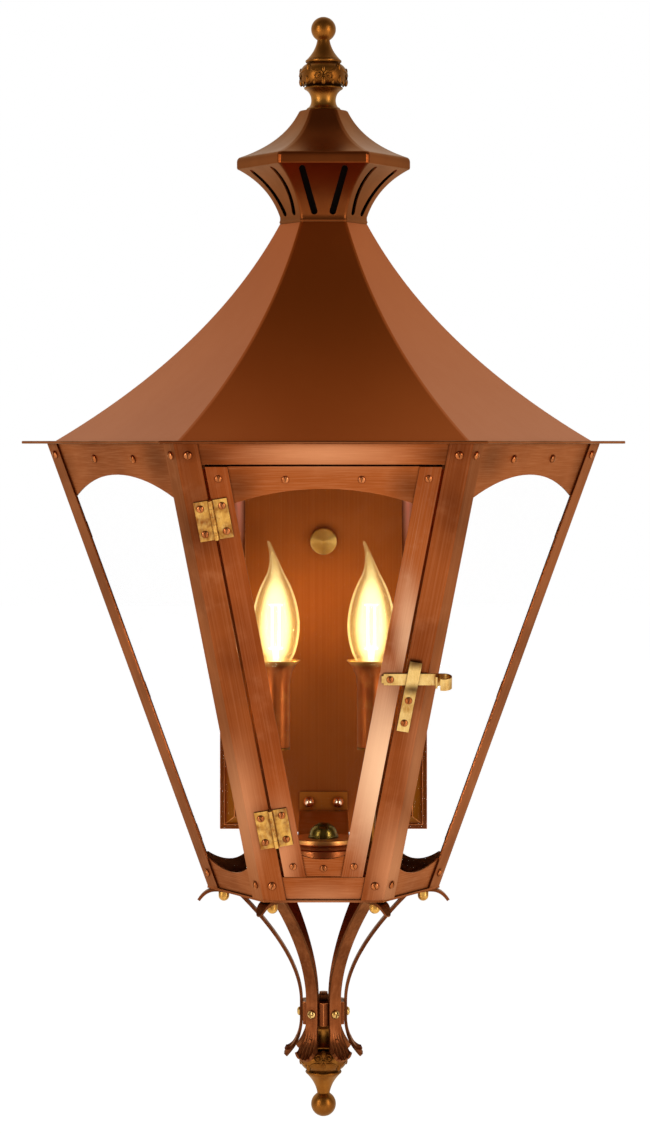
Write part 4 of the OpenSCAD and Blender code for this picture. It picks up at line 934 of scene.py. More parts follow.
# %% Hinges, keeper and latch bar
eased("hinge_post_leaves", 0.00018, "brass", brass_mottled, brass_bright)
eased("hinge_door_leaves", 0.00018, "brass", brass_mottled, brass_bright)
eased("hinge_pins", 0.00025, "brass", brass_mottled)
eased("latch_keeper", 0.00025, "brass", brass_keeper, brass_keeper)
eased("latch_bar", 0.00025, "brass", brass_bright, brass_bright)
eased("candle_arms", 0.0, "brass", brass_antique)
print("hinges, latch and arms are eased")


# %% [markdown]
# ## Turned and spun pieces
# Many pieces grow from a ring: hold the outline in mind, extrude the ring up a step, resize it,
# and repeat. With six corners the same steps give the hexagonal roof, with ninety-six a turned
# knob. A radius of zero closes the piece in a point, and an outline that comes back to its first
# ring makes a wall.

# %% Growing a piece ring by ring
def bezier(a, b, c, steps, first=True):
    """Points of a quadratic curve."""
    points = []
    for i in range(0 if first else 1, steps + 1):
        t = i / steps
        points.append(tuple((1 - t) ** 2 * p + 2 * t * (1 - t) * q + t * t * r
                            for p, q, r in zip(a, b, c)))
    return points


least_r = 0.001


def grow(name, sides, outline, turned=0.0):
    """A ring that is extruded and resized along an outline of radii and heights."""
    bpy.ops.object.select_all(action="DESELECT")
    radius, height = max(outline[0][0], least_r), outline[0][1]
    bpy.ops.mesh.primitive_circle_add(vertices=sides, radius=radius, location=(0, 0, height),
                                      rotation=(0, 0, math.radians(turned)))
    piece = bpy.context.active_object
    piece.name = name
    apply_place(piece)
    edit(piece, "SELECT")
    for r, z in outline[1:]:
        r = max(r, least_r)
        bpy.ops.mesh.extrude_edges_move(TRANSFORM_OT_translate={"value": (0, 0, z - height)})
        bpy.ops.transform.resize(value=(r / radius, r / radius, 1), center_override=(0, 0, z))
        radius, height = r, z
    bpy.ops.mesh.select_all(action="SELECT")
    bpy.ops.mesh.remove_doubles(threshold=4 * least_r)
    close_edit(outward=True)
    return piece


def beside(points, distance):
    """An outline moved sideways by a wall's thickness."""
    moved = []
    for i, p in enumerate(points):
        q, r = points[max(i - 1, 0)], points[min(i + 1, len(points) - 1)]
        dx, dz = r[0] - q[0], r[1] - q[1]
        n = math.hypot(dx, dz)
        moved.append((p[0] - dz / n * distance, p[1] + dx / n * distance))
    return moved


def bevel_ridges(piece, offset):
    """Rounds the edges that run up the outer corners of a hexagonal piece."""
    axis_gap = 4.0
    edit(piece, "DESELECT")
    b = bmesh.from_edit_mesh(piece.data)
    for e in b.edges:
        p, q = (v.co for v in e.verts)
        if min(p.xy.length, q.xy.length) > axis_gap:
            if abs(p.xy.normalized().cross(q.xy.normalized())) < 0.01:
                e.select_set(True)
    bmesh.update_edit_mesh(piece.data)
    bpy.ops.mesh.bevel(offset=offset, segments=3, material=1)
    close_edit()
    return piece


# %% [markdown]
# The main roof is one bent hexagonal skin. Real ones are six sheets with locked or soldered
# ridges, rubbed bright. Forty steps keep the long hollow curve smooth, and the ridges take a
# narrow rounded bevel in the worn finish.

# %% Main roof
CORNER = 30.0
roof_foot, roof_pull, roof_neck = (197.0, 1.0), (81.6, 69.4), (32.6, 159.6)
neck_hole_r, roof_inner_r = 26.1, 195.0
roof_outer = bezier(roof_foot, roof_pull, roof_neck, 40)
roof_inner = [p for p in beside(roof_outer, sheet) if p[1] < 158.0]
roof_outline = (roof_outer + [(neck_hole_r, 159.6), (neck_hole_r, 158.4)] + roof_inner[::-1][:-1]
                + [(roof_inner_r, 1.0), roof_foot])
roof = grow("roof_skin", 6, roof_outline, CORNER)
bevel_ridges(roof, 1.7)
smooth(roof, 32.0)
seat(roof)
dress(roof, "roof_skin", "lantern", "copper", copper_roof, copper_rim)
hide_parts("roof")
print("roof rings:", len(roof_outline))

# %% [markdown]
# The collar flares up from a small bead round the roof's neck. Twelve slots go through it, two in
# each face. They are cut with rounded bars that follow the splay of the face.

# %% Vent collar with its slots
collar_foot, collar_pull, collar_lip = (31.2, 160.6), (38.0, 186.4), (62.8, 199.6)
collar_outer = bezier(collar_foot, collar_pull, collar_lip, 24)
collar_inner = beside(collar_outer, sheet)
collar_bead, collar_rim = [(32.4, 159.8), (32.9, 161.2), (32.4, 162.6)], [(62.8, 204.6), (61.4, 204.6)]
collar_outline = (collar_bead + collar_outer[2:] + collar_rim
                  + [p for p in collar_inner if p[1] < 204.0][::-1][:-2] + [(29.8, 159.8), (32.4, 159.8)])
collar = grow("collar_skin", 6, collar_outline, CORNER)
bevel_ridges(collar, 1.8)
seat(collar)


def vent_cutter(k, side):
    """One rounded slot through a face of the collar, following the face's splay."""
    low, high, reach, start = Vector((6.7, 167.3)), Vector((15.2, 196.3)), 60.0, 12.0
    along = high - low
    lean = math.atan2(along.x, along.y)
    bpy.ops.mesh.primitive_cylinder_add(vertices=24, radius=2.4, depth=reach)
    cutter = bpy.context.active_object
    edit(cutter, "DESELECT")
    b = bmesh.from_edit_mesh(cutter.data)
    for v in b.verts:
        v.select_set(v.co.y > 0.01)
    b.select_flush(True)
    bmesh.update_edit_mesh(cutter.data)
    bpy.ops.transform.translate(value=(0, along.length, 0))
    close_edit()
    stand_up = at(side * low.x, -start - reach / 2, low.y) @ TOWARD_VIEWER
    lean_over = Matrix.Rotation(-side * lean, 4, "Z")
    return seat(cutter, face_turn(k) @ stand_up @ lean_over)


cutters = [vent_cutter(k, side) for k in range(6) for side in (-1, 1)]
cut_away(collar, joined("slot_bars", cutters), "slots")
smooth(collar, 32.0)
dress(collar, "collar_skin", "lantern", "copper", copper_collar, copper_rim)
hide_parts("vent_collar")
print("collar with 12 slots,", len(collar.data.polygons), "faces")

# %% [markdown]
# The crown cap has an upright band with rounded edges, and a hollow curve from there up to the
# finial's foot. Under it the sheet is followed back down to the band.

# %% Crown cap
crown_r, crown_foot_z, crown_band_z, crown_top_z = 64.2, 199.6, 207.6, 243.0
cap_outer = bezier((crown_r - 1.6, crown_band_z + 0.9), (30.0, 219.2), (18.6, 242.2), 24)
cap_inner = [p for p in beside(cap_outer, sheet) if p[1] > crown_band_z - 0.6]
cap_outline = [(crown_r - 1.2, crown_foot_z), (crown_r - 0.3, crown_foot_z + 0.5),
               (crown_r, crown_foot_z + 1.6), (crown_r, crown_band_z - 2.0),
               (crown_r - 0.25, crown_band_z - 0.9), (crown_r - 0.8, crown_band_z + 0.1)]
cap_outline += cap_outer + [(17.4, crown_top_z), (3.1, crown_top_z), (3.1, 241.8), (16.6, 241.8)]
cap_outline += cap_inner[::-1][2:] + [(crown_r - 1.5, crown_band_z - 1.0), (crown_r - 1.5, crown_foot_z),
                                      (crown_r - 1.2, crown_foot_z)]
cap = grow("crown_skin", 6, cap_outline, CORNER)
bevel_ridges(cap, 2.2)
smooth(cap, 32.0)
seat(cap)
dress(cap, "crown_skin", "lantern", "copper", copper_cap, copper_rim)
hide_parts("crown_cap")
print("crown cap rings:", len(cap_outline))

# %% [markdown]
# ## Finials
# Both finials are one casting: a waisted foot, a carved ring of leaves with rolled ends, a trumpet
# cone and a ball. The turned part grows ring by ring. The leaves are swept ridges, modelled once
# and copied round the ring.

# %% The turned body of a finial
ROUND = 96


def finial_body(name):
    """The lathe work of one finial, standing on its foot."""
    outline = [(3.1, 0.0), (12.4, 0.0), (12.6, 0.9), (12.0, 1.8)]
    outline += bezier((11.2, 2.2), (9.2, 3.6), (9.0, 7.5), 8)
    outline += bezier((9.0, 7.5), (9.2, 13.4), (13.9, 15.7), 12, first=False)
    outline += [(14.3, 16.3), (14.2, 16.9), (13.2, 17.4), (12.6, 18.3)]
    outline += bezier((13.4, 18.6), (17.4, 19.0), (17.4, 25.5), 8)
    outline += bezier((17.4, 25.5), (17.2, 31.8), (12.4, 34.2), 10, first=False)
    outline += [(12.2, 34.8), (13.0, 35.3), (13.3, 36.1), (13.0, 36.9), (12.2, 37.3)]
    outline += bezier((12.1, 37.6), (5.8, 44.0), (4.6, 51.6), 14)
    ball_r, ball_z, ball_neck_r, steps = 9.1, 59.7, 4.9, 24
    start = math.asin(ball_neck_r / ball_r)
    outline += [(ball_r * math.sin(start + (math.pi - start) * i / steps),
                 ball_z - ball_r * math.cos(start + (math.pi - start) * i / steps)) for i in range(steps)]
    outline += [(0.0, ball_z + ball_r)]
    return grow(name, ROUND, outline)


# %% [markdown]
# A leaf's edge is a ridge that runs along the ring and then rolls up into a scroll of one and a
# half turns. It is extruded from a small circle that is set to each point of its path in turn.

# %% Leaves and rolled ends of the carved ring
def tube_on_ring(points, thick, name):
    """A tapering ridge that follows points given as (degrees, radius, height), as a mesh."""
    path = [Vector((r * math.cos(math.radians(a)), r * math.sin(math.radians(a)), z))
            for a, r, z in points]
    bpy.ops.object.select_all(action="DESELECT")
    bpy.ops.mesh.primitive_circle_add(vertices=8, radius=1.0)
    ridge = bpy.context.active_object
    ridge.name = name
    for i, p in enumerate(path):
        ahead = (path[min(i + 1, len(path) - 1)] - path[max(i - 1, 0)]).normalized()
        turn = ahead.to_track_quat("Z", "Y").to_matrix().to_4x4()
        goal = Matrix.Translation(p) @ turn @ Matrix.Scale(thick[i], 4)
        if i == 0:
            apply_place(ridge, goal)
            edit(ridge, "SELECT")
            bpy.ops.mesh.edge_face_add()
        else:
            bpy.ops.mesh.extrude_region_move(TRANSFORM_OT_translate={"value": (0, 0, 0)})
            b = bmesh.from_edit_mesh(ridge.data)
            step = goal @ before.inverted()
            for v in b.verts:
                if v.select:
                    v.co = step @ v.co
            bmesh.update_edit_mesh(ridge.data)
        before = goal
    close_edit(outward=True)
    return ridge


def ring_bulge(widest, z):
    """Radius of the carved ring at a height, from its widest radius."""
    return widest - 0.055 * (z - 25.0) ** 2


def volute(start, side):
    """Points and thickness of one leaf edge that rolls into a scroll."""
    points, thick = [], []
    for i in range(26):
        t = i / 25
        if t < 0.45:
            s = t / 0.45
            a, z = start + side * (2 + 30 * s), 31.5 - 3.2 * math.sin(s * math.pi * 0.6) - 1.2 * s
        else:
            s = (t - 0.45) / 0.55
            roll, r_roll = s * 1.55 * 2 * math.pi, 4.3 * (1 - 0.82 * s)
            a = start + side * (32 + math.degrees(math.sin(roll) * r_roll / 17.4))
            z = 24.0 + math.cos(roll) * r_roll
        points.append((a, max(ring_bulge(17.3, z), 12.6), z))
        thick.append(0.95 - 0.35 * t)
    thick[-1] = 1.1
    return points, thick


bosses = ((0.0, 21.0, 2.3), (0.0, 28.5, 1.7), (45.0, 22.0, 2.2), (45.0, 30.5, 2.4), (25.0, 20.3, 1.5),
          (-25.0, 20.3, 1.5))


def finial_carving(name):
    """Four pairs of scrolling leaves and the bosses between them."""
    parts = []
    for n in range(4):
        for side in (-1, 1):
            points, thick = volute(90 * n + 45, side)
            parts.append(tube_on_ring(points, thick, name))
        for a, z, size in bosses:
            bpy.ops.mesh.primitive_uv_sphere_add(segments=16, ring_count=10, radius=size)
            boss = bpy.context.active_object
            turn = Matrix.Rotation(math.radians(90 * n + a), 4, "Z")
            apply_place(boss, turn @ at(ring_bulge(17.2, z), 0, z) @ Matrix.Diagonal((0.7, 0.8, 1.5, 1.0)))
            parts.append(boss)
    return joined(name, parts)


def build_finial(name, node, foot_z, upside_down):
    """One finial, standing on the crown or hanging from the hub."""
    turned = joined(name, [finial_body(name), finial_carving(name + "_leaves")])
    smooth(turned, 42.0, weigh=False)
    seat(turned, at(0, 0, foot_z) @ (UPSIDE_DOWN if upside_down else Matrix.Identity(4)))
    dress(turned, name, "lantern", "antique_brass", brass_antique)
    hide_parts(node)
    print(name, "has", len(turned.data.polygons), "faces")


hub_low_z = -425.0
build_finial("top_finial_casting", "top_finial", crown_top_z, False)
build_finial("bottom_finial_casting", "bottom_finial", hub_low_z, True)


# %% [markdown]
# ## Small turned pieces
# The knob that holds the back panel, the domed nuts, the candle cup and its bell nut, and the
# sleeves with their flared lips all grow the same way.

# %% Knob and dome nuts
def dome(r, straight, height, steps=8):
    """Outline of a domed nut: a short straight side under a rounded top."""
    turns = [math.pi / 2 * i / steps for i in range(steps)]
    top = [(r * math.cos(a), straight + (height - straight) * math.sin(a)) for a in turns]
    return [(r - 0.4, 0.0), (r, 0.4)] + top + [(0.0, height)]


def rod(r, low, high):
    """Outline of a plain round rod."""
    return [(0.0, low), (r, low), (r, high), (0.0, high)]


knob_r, rim_z = 10.5, 10.4
knob_outline = [(6.5, 0.0), (6.5, 2.0)] + bezier((6.5, 2.0), (5.2, 4.5), (knob_r, 6.5), 8, first=False)
knob_outline += bezier((knob_r, 8.6), (knob_r, rim_z - 0.3), (knob_r * 0.88, rim_z - 0.1), 8)
knob_outline += bezier((knob_r * 0.86, rim_z), (knob_r * 0.4, rim_z + 0.9), (0.0, rim_z + 1.2), 12)
knob = grow("knob", ROUND, knob_outline)
smooth(knob, 40.0)
panel_front = 178.8
seat(knob, at(0, panel_front, -eaves_over_box) @ TOWARD_VIEWER)
dress(knob, "panel_knob", "lantern", "brass", brass_knob)
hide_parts("mounting_knob")

bracket_bolt_x, bracket_bolt_z, bracket_t = 11.6, -284.0, 1.5
bolt_parts = []
for side in (-1, 1):
    bolt_place = at(side * bracket_bolt_x, panel_front - bracket_t, bracket_bolt_z) @ TOWARD_VIEWER
    nut = grow("dome_nut", 48, dome(4.25, 0.9, 5.6))
    smooth(nut, 40.0)
    shank = grow("shank", 24, rod(2.0, -6.9, 1.0))
    head = grow("head", 6, [(0.0, -6.4), (4.0, -6.4), (4.25, -6.0), (4.25, -4.2), (4.0, -3.9), (0.0, -3.9)])
    bolt_parts += [seat(part, bolt_place) for part in (nut, shank, head)]
bracket_nuts = joined("bracket_dome_nuts", bolt_parts)
dress(bracket_nuts, "bracket_dome_nuts", "lantern", "brass", copper_bright)
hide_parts("bracket_bolts")
print("knob and", len(bolt_parts), "bolt parts")

# %% [markdown]
# Each leg hangs on a bolt through the floor plate. Its domed brass nut shows under the leg, and
# its six-sided head lies inside on the floor plate.

# %% Nuts under the floor
floor_top_z, floor_t, leg_t, leg_bolt_r = -325.0, 1.5, 2.2, 73.0
under_leg_z = floor_top_z - floor_t - leg_t
leg_nuts = []
for k in range(6):
    nut = grow("leg_nut", 48, dome(3.95, 3.4, 7.3))
    smooth(nut, 40.0)
    stem = grow("leg_stem", 24, rod(2.0, -1.0, 4.6))
    head = grow("leg_head", 6, [(0.0, 0.0), (3.5, 0.0), (3.6, 0.3), (3.6, 2.1), (3.3, 2.4), (0.0, 2.4)])
    under_leg = face_turn(k) @ at(leg_bolt_r, 0, under_leg_z)
    over_floor = face_turn(k) @ at(leg_bolt_r, 0, floor_top_z)
    leg_nuts += [seat(nut, under_leg @ UPSIDE_DOWN), seat(stem, under_leg), seat(head, over_floor)]
leg_bolts = joined("leg_dome_nuts", leg_nuts)
dress(leg_bolts, "leg_dome_nuts", "lantern", "brass", brass_mottled)
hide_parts("leg_bolts")
print("leg bolts:", len(leg_nuts), "parts")

# %% [markdown]
# The cup is spun from copper: a flat top with a rolled rim, a bead under it, and a wall that goes
# down to the floor plate. A bell-shaped nut stands on it, over a hollow nipple.

# %% Candle cup and bell nut
cup_top_z, cup_r, cup_neck_r, cup_wall_r = -289.5, 24.6, 22.6, 21.4
nipple_hole_r = 3.1
cup_rim = [(-1.2, 0.0), (-0.3, -0.3), (0.0, -1.0), (0.0, -3.2), (-0.5, -3.9), (-1.8, -4.4), (-2.0, -5.0)]
cup_outline = [(nipple_hole_r, cup_top_z)] + [(cup_r + dr, cup_top_z + dz) for dr, dz in cup_rim]
cup_outline += [(cup_neck_r + 1.2 * math.sin(math.pi * i / 6), cup_top_z - 7.8 + 2.4 * (6 - i) / 6)
                for i in range(1, 6)]
cup_outline += [(cup_neck_r, cup_top_z - 8.2), (cup_neck_r, floor_top_z), (cup_wall_r, floor_top_z),
                (cup_wall_r, cup_top_z - 4.5), (cup_r - 2.8, cup_top_z - 1.2),
                (nipple_hole_r, cup_top_z - 1.2), (nipple_hole_r, cup_top_z)]
cup = grow("cup", ROUND, cup_outline)
smooth(cup, 35.0)
seat(cup)
dress(cup, "candle_cup_spun", "lantern", "copper", copper_cup)
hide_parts("candle_cup")

bell_outline = [(0.0, 0.0), (10.6, 0.0), (11.0, 0.5), (10.9, 1.2)]
bell_outline += bezier((10.3, 1.7), (9.8, 8.0), (4.6, 9.8), 12)
bell_outline += bezier((4.6, 9.8), (3.8, 11.0), (0.0, 11.0), 6, first=False)
bell = grow("bell_nut", ROUND, bell_outline)
smooth(bell, 40.0)
seat(bell, at(0, 0, cup_top_z))
dress(bell, "bell_nut", "lantern", "brass", brass_olive)
nipple = grow("nipple", 24, rod(3.0, -7.7, 0.2))
nipple_nut = grow("nipple_nut", 6, [(0.0, -6.7), (4.8, -6.7), (5.0, -6.4), (5.0, -3.0), (4.8, -2.7),
                                    (0.0, -2.7)])
fixing = joined("cup_fixing", [seat(part, at(0, 0, cup_top_z)) for part in (nipple, nipple_nut)])
dress(fixing, "cup_fixing", "lantern", "brass", brass_antique)
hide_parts("cup_nut")
print("cup rings:", len(cup_outline))

# %% [markdown]
# The sleeves are plain tubes that flare out into a thin lip just under each lamp.

# %% Candle sleeves
candle_x, sleeve_r, sleeve_h, sleeve_t, flare_h = 35.0, 10.5, 64.0, 0.8, 19.0
sleeve_low_z, flare_z = sleeve_top_z - sleeve_h, sleeve_top_z - flare_h
sleeve_outer = [(sleeve_r, sleeve_low_z + 0.4), (sleeve_r, flare_z)]
sleeve_outer += bezier((sleeve_r, flare_z), (sleeve_r + 0.4, sleeve_top_z - 6.0),
                       (18.0, sleeve_top_z - 0.4), 16, first=False)
sleeve_inner = [(r - sleeve_t, z) for r, z in sleeve_outer]
sleeve_outline = ([(sleeve_r - 0.4, sleeve_low_z)] + sleeve_outer + [(17.9, sleeve_top_z)]
                  + [(17.2, sleeve_top_z)] + sleeve_inner[::-1] + [(sleeve_r - 0.4, sleeve_low_z)])
sleeves = []
for side in (-1, 1):
    sleeve = grow("sleeve", ROUND, sleeve_outline)
    smooth(sleeve, 35.0)
    sleeves.append(seat(sleeve, at(side * candle_x, 0, 0)))
sleeves = joined("candle_sleeves_spun", sleeves)
dress(sleeves, "candle_sleeves_spun", "lantern", "copper", copper_spun)
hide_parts("candle_sleeves")
print("sleeve rings:", len(sleeve_outline))

# %% [markdown]
# ## Lamps
# Each lamp is a flame of clear glass with its tip drawn out and bent aside, and four glowing
# strands inside. The glass grows as a turned wall, and then the rings near the tip are slid
# sideways, more the higher they are.

# %% Lamp glass
lamp_foot_z = sleeve_top_z - 12.0
bulb_r, bulb_wide, bulb_tip = 17.5, sleeve_top_z + 27.6, sleeve_top_z + 87.4


def flame(inset):
    """Outline of the lamp's glass, moved in by a wall."""
    foot = (6.6 - inset, lamp_foot_z)
    waist = (14.0 - inset, sleeve_top_z + 5.0)
    widest = (bulb_r - inset, bulb_wide)
    neck = (7.0 - inset, sleeve_top_z + 62.0)
    tip = (1.5 - inset * 0.6, bulb_tip - 5.0)
    outline = bezier(foot, (8.0 - inset, lamp_foot_z + 5.0), waist, 8)
    outline += bezier(waist, (17.85 - inset, sleeve_top_z + 16.0), widest, 8, first=False)
    outline += bezier(widest, (16.3 - inset, sleeve_top_z + 46.0), neck, 16, first=False)
    outline += bezier(neck, (3.3 - inset * 0.8, sleeve_top_z + 69.5), tip, 10, first=False)
    return outline


glass_t, bend_from, tip_aside = 0.8, sleeve_top_z + 60.0, 5.6
flame_outer = flame(0.0) + [(1.2, bulb_tip - 2.2), (0.8, bulb_tip - 0.5), (0.0, bulb_tip)]
flame_inner = [(0.0, bulb_tip - 8.0)] + flame(glass_t)[::-1][3:]
lamps = []
for side in (-1, 1):
    lamp = joined("lamp", [grow("lamp", 64, flame_outer), grow("lamp_wall", 64, flame_inner)])
    edit(lamp, "DESELECT")
    b = bmesh.from_edit_mesh(lamp.data)
    rims = [v for v in b.verts if abs(v.co.z - lamp_foot_z) < 0.01]
    for e in b.edges:
        if all(v in rims for v in e.verts):
            e.select_set(True)
    bmesh.update_edit_mesh(lamp.data)
    bpy.ops.mesh.bridge_edge_loops()
    b = bmesh.from_edit_mesh(lamp.data)
    for v in b.verts:
        if v.co.z > bend_from:
            t = (v.co.z - bend_from) / (bulb_tip - bend_from)
            v.co.x -= tip_aside * t * t
    bmesh.update_edit_mesh(lamp.data)
    close_edit()
    smooth(lamp, 50.0, weigh=False)
    lamps.append(seat(lamp, at(side * candle_x, 0, 0)))
lamps = joined("flame_lamps", lamps)
dress(lamps, "flame_lamps", "lantern", "lamp_glass", lamp_glass_finish)
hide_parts("lamp_glass")
print("lamp glass faces:", len(lamps.data.polygons))

# %% [markdown]
# The strands only look bright. What they would throw on the lips of the sleeves and on the cup
# comes from a small warm light in each lamp, and from painted highlights on those lips and the cup.

# %% Warm light inside the lamps
for side in (-1, 1):
    ember = bpy.data.lights.new(f"lamp_ember_{side}", "POINT")
    ember.energy, ember.shadow_soft_size, ember.color = 0.10, 0.005, (1.0, 0.74, 0.40)
    holder = bpy.data.objects.new(ember.name, ember)
    bpy.context.scene.collection.objects.link(holder)
    holder.location = LANTERN @ Vector((side * candle_x, 0, sleeve_top_z + 12.0))
    holder.visible_camera = False
print("two warm lights in the lamps")

# %% [markdown]
# ## Legs
# Each leg is a flat strap, bolted under the floor plate, that sweeps down to the hub and flares
# out below it into a small ribbed fan. A strip is extruded step by step along the side view of
# the strap, and gets its thickness at the end. Twenty columns across the strip let the fan's ribs
# stand up.

# %% One leg
hub_flat, hub_top_z = 15.1, -408.5
strap_mid_r = hub_flat + leg_t / 2
strap_z = floor_top_z - floor_t - leg_t / 2
leg_path = bezier((91.5, strap_z - 8.0), (86.5, strap_z), (79.0, strap_z), 8)
leg_path += [(72.5, strap_z)]
leg_path += bezier((66.0, strap_z), (63.8, strap_z), (59.5, strap_z - 4.4), 6)
leg_path += bezier((59.5, strap_z - 4.4), (strap_mid_r, hub_top_z + 32.5), (strap_mid_r, hub_top_z), 24,
                   first=False)
fan_start_z, fan_low_z, leg_end_z = hub_low_z - 6.0, hub_low_z - 18.5, hub_low_z - 24.4
leg_path += bezier((strap_mid_r, hub_low_z + 4.0), (strap_mid_r, hub_low_z - 12.0),
                   (strap_mid_r + 11.7, leg_end_z), 16)
leg_w, fan_w = 9.5, 15.0
columns = 20


def strap_width(z):
    """Width of the strap at a height: it widens into the fan."""
    t = min(max((fan_start_z - z) / (fan_start_z - fan_low_z), 0.0), 1.0)
    return leg_w + (fan_w - leg_w) * t


def leg_strip(name):
    """The strap as a strip of faces along its side view."""
    bpy.ops.object.select_all(action="DESELECT")
    bpy.ops.mesh.primitive_grid_add(x_subdivisions=1, y_subdivisions=columns, size=leg_w)
    strip = bpy.context.active_object
    strip.name = name
    edit(strip, "DESELECT")
    b = bmesh.from_edit_mesh(strip.data)
    (x0, z0), (x1, z1) = leg_path[0], leg_path[1]
    for v in b.verts:
        v.co.x, v.co.z = (x0, z0) if v.co.x < 0 else (x1, z1)
    for e in b.edges:
        e.select_set(all(abs(v.co.x - x1) < 0.001 for v in e.verts))
    bmesh.update_edit_mesh(strip.data)
    width = leg_w
    for (xa, za), (xb, zb) in zip(leg_path[1:], leg_path[2:]):
        bpy.ops.mesh.extrude_edges_move(TRANSFORM_OT_translate={"value": (xb - xa, 0, zb - za)})
        goal = strap_width(zb)
        if abs(goal - width) > 0.0001:
            bpy.ops.transform.resize(value=(1, goal / width, 1), center_override=(0, 0, 0))
            width = goal
    close_edit(outward=True)
    return strip


def shape_fan(strip):
    """Rounds and scallops the fan's lower edge, raises its ribs and trims the strap's other end."""
    fan_round, scallop_h, rib_h, lobes = 7.5, 1.1, 0.55, 5
    toe_start, toe_l = 79.0, 12.5
    edit(strip)
    b = bmesh.from_edit_mesh(strip.data)
    for v in b.verts:
        if v.co.z < fan_start_z and v.co.x < 60:
            share = v.co.y / (strap_width(v.co.z) / 2)
            depth = min((fan_start_z - v.co.z) / (fan_start_z - leg_end_z), 1.0)
            edge_lift = (1 - math.sqrt(max(1 - min(abs(share), 0.98) ** 2, 0.0))) * fan_round
            scallop = abs(math.sin(share * lobes / 2 * math.pi)) * scallop_h
            v.co.z += (edge_lift + scallop_h - scallop) * depth ** 3
            rib = rib_h * math.cos(share * lobes * math.pi) * min(depth * 1.6, 1.0)
            v.co.x += rib * 0.9
            v.co.z -= rib * 0.4
        if v.co.x > toe_start:
            t = (v.co.x - toe_start) / toe_l
            v.co.y *= math.sqrt(max(1 - 0.9 * t * t, 0.02))
    bmesh.update_edit_mesh(strip.data)
    close_edit()
    wall = strip.modifiers.new("strap_thickness", "SOLIDIFY")
    wall.thickness, wall.offset = leg_t, 0.0
    edge = strip.modifiers.new("strap_edge", "BEVEL")
    edge.width, edge.segments, edge.material = 0.45, 2, 1
    edge.limit_method, edge.angle_limit = "ANGLE", math.radians(50)
    apply_modifiers(strip)
    return strip


def fan_crest():
    """The small rolled crest that lies across the top of a fan, as three beads."""
    parts = []
    for y, r in ((-2.6, 1.9), (0.0, 2.3), (2.6, 1.9)):
        bpy.ops.mesh.primitive_uv_sphere_add(segments=16, ring_count=8, radius=r)
        bead = bpy.context.active_object
        apply_place(bead, at(strap_mid_r + 3.2, y, hub_low_z - 11.5 - abs(y) * 0.5)
                    @ Matrix.Diagonal((0.6, 1.0, 1.15, 1.0)))
        parts.append(bead)
    return parts


leg_master = shape_fan(leg_strip("leg_strap"))
leg_master = joined("leg_strap", [leg_master] + fan_crest())
smooth(leg_master, 35.0)
for k, name in enumerate(corner_names):
    node = "leg_" + name
    leg = seat(copy_of(leg_master), face_turn(k - 1))
    dress(leg, node + "_strap", "lantern", "copper", copper_cast, copper_worn)
    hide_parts(node)
print("leg faces:", len(leg_master.data.polygons))
bpy.data.objects.remove(leg_master)


# %% [markdown]
# ## Screws
# Round heads with a slot hold the frame, smaller ones the door and hinges, and the hub's screws
# have a cross recess. One head is modelled for each kind: a low dome, cut by a thin block. The
# slots stand nearly upright, each a little off in its own way.

# %% Screw heads
def screw_head(r, h, shank_r, shank_l, slot_w=0.75, slot_d=0.8, cross=False):
    """A domed head with its slot and shank, standing on z = 0."""
    steps, rim_h = 7, 0.12
    turns = [math.pi / 2 * i / steps for i in range(steps)]
    outline = [(0.0, -shank_l), (shank_r, -shank_l), (shank_r, -0.02), (r - 0.1, -0.02)]
    outline += [(r * math.cos(a) ** 0.8, rim_h + (h - rim_h) * math.sin(a)) for a in turns]
    outline += [(0.0, h)]
    head = grow("screw", 32, outline)
    for quarter in ((0, 1) if cross else (0,)):
        bpy.ops.mesh.primitive_cube_add(size=1.0)
        blade = bpy.context.active_object
        length = (1.3 if cross else 2.2) * r
        apply_place(blade, Matrix.Rotation(math.pi / 2 * quarter, 4, "Z") @ at(0, 0, h)
                    @ Matrix.Diagonal((length, slot_w, 2 * slot_d, 1.0)))
        cut_away(head, blade, "slot")
    smooth(head, 32.0, weigh=False)
    return head


def set_screws(name, master, places, body, slot, finish, *nodes_replaced):
    """Copies of one screw at many places, as one object."""
    parts = []
    for n, place in enumerate(places):
        slot_turn = math.radians(90 + 26 * math.sin(2.4 * n))
        parts.append(seat(copy_of(master), place @ Matrix.Rotation(slot_turn, 4, "Z")))
    whole = joined(name, parts)
    dress(whole, name, body, slot, finish)
    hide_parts(*nodes_replaced)
    print(name, "sets", len(places), "screws")
    return whole


def on_face(k, u, v, n=0):
    """A place on face k, as a matrix."""
    return face_frame(k) @ at(u, v, n)


def slope(height):
    """The slope distance that belongs to a height above the eaves."""
    return height / math.cos(face_tilt)


top_v, bottom_v, band_v = slope(-8.9), slope(-body_h + 10.6), slope(-12.0)
frame_places = [on_face(k, side * (half_width(v) - flange_w / 2), v)
                for k in range(6) for v in (top_v, bottom_v) for side in (-1, 1)]
frame_places += [on_face(k, side * 0.31 * half_width(band_v), band_v, -sheet)
                 for k in (1, 2, 4, 5) for side in (-1, 1)]
frame_screw = screw_head(3.0, 1.8, 1.4, 3.8)
set_screws("frame_screw_heads", frame_screw, frame_places, "lantern", "copper", copper_screw, "frame_screws")
bpy.data.objects.remove(frame_screw)

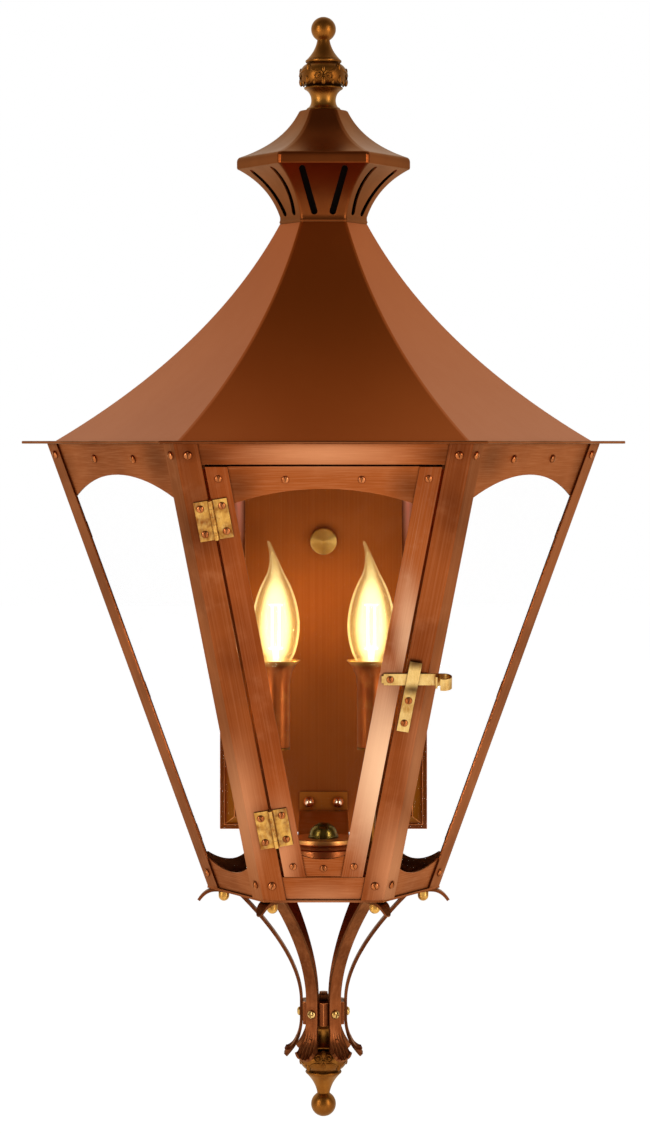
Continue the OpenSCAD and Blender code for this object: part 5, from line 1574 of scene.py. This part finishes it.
hub_screw_z = (hub_top_z + hub_low_z) / 2
hub_places = [face_turn(k) @ at(hub_flat + leg_t, 0, hub_screw_z) @ Matrix.Rotation(math.pi / 2, 4, "Y")
              for k in range(6)]
hub_screw = screw_head(3.2, 2.1, 1.2, 7.0, slot_w=0.9, slot_d=1.0, cross=True)
set_screws("hub_screw_heads", hub_screw, hub_places, "lantern", "brass", brass_bright, "hub_screws")
bpy.data.objects.remove(hub_screw)

# %% [markdown]
# The door's own screws ride on the door. Those of the post leaves and of the keeper stay on the
# lantern. Both follow the leaning lines of the hinges and the latch.

# %% Door and hinge screws
door_edge, stile_w, door_top, door_bottom = 18.0, 15.2, 17.6, 322.5
hinge_v, hinge_h, leaf_w, leaf_t = (-55.3, -285.0), 28.5, 11.5, 1.0
latch_v, latch_t, keeper_shift = -172.0, 1.2, 2.0
stile_mid = door_edge + stile_w / 2
door_places = [on_face(0, side * (half_width(v) - stile_mid), v)
               for v in (-door_top - 8.5, -door_bottom + 8.0) for side in (-1, 1)]
door_places += [on_face(0, u, v, -sheet) for u, v in (
    (-26.0, -door_top - 9.4), (26.0, -door_top - 9.4), (0.0, -door_bottom + 6.0))]


def hinge_place(v, side, y):
    """Where a hinge screw goes: on the post leaf (side -1) or the door leaf (side 1)."""
    at_pin = on_face(0, -half_width(v) + flange_w + 1.0, v) @ Matrix.Rotation(edge_lean, 4, "Z")
    return at_pin @ at(side * (leaf_w - 4.0), y * (hinge_h / 2 - 5.0), leaf_t)


door_places += [hinge_place(v, 1, y) for v in hinge_v for y in (-1, 1)]
door_places.append(on_face(0, half_width(latch_v) - stile_mid, latch_v, 0.1 + latch_t + 0.06))
post_places = [hinge_place(v, -1, y) for v in hinge_v for y in (-1, 1)]
at_keeper = (on_face(0, half_width(latch_v) - flange_w / 2 - keeper_shift, latch_v)
             @ Matrix.Rotation(-edge_lean, 4, "Z"))
post_places += [at_keeper @ at(0, y, latch_t) for y in (-16.0, -33.0)]
small_screw = screw_head(2.6, 1.4, 1.2, 2.0, slot_w=0.65, slot_d=0.6)
set_screws("door_screw_heads", small_screw, door_places, "door", "dark_copper", copper_screw,
           "door_screws")
set_screws("post_screw_heads", small_screw, post_places, "lantern", "dark_copper", copper_screw,
           "post_screws")
bpy.data.objects.remove(small_screw)

# %% [markdown]
# ## Nodes that keep their measured shape
# Panes, lamp bases, strands, sockets, the studs and the mounting bar are right as they were
# measured. They only need a finish.

# %% Finishes for the rest
kept = {"side_glass": pane_glass, "door_glass": pane_glass, "lamp_bases": brass_antique,
        "lamp_filaments": strand_finish, "lamp_sockets": socket_finish, "finial_studs": copper_cast,
        "mounting_bar": zinc, "vent_liner": liner_finish}
for node, finish in kept.items():
    measured = frame["nodes"][node]
    measured.data.materials.clear()
    measured.data.materials.append(finish)
left_plain = [n for n, o in frame["nodes"].items() if not o.hide_render and n not in kept]
print("nodes kept:", sorted(kept), "left plain:", left_plain)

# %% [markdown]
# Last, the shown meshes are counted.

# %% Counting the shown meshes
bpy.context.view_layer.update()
shown = [o for o in bpy.data.objects if o.type == "MESH" and not o.hide_render]
print("finished with", len(shown), "shown meshes")
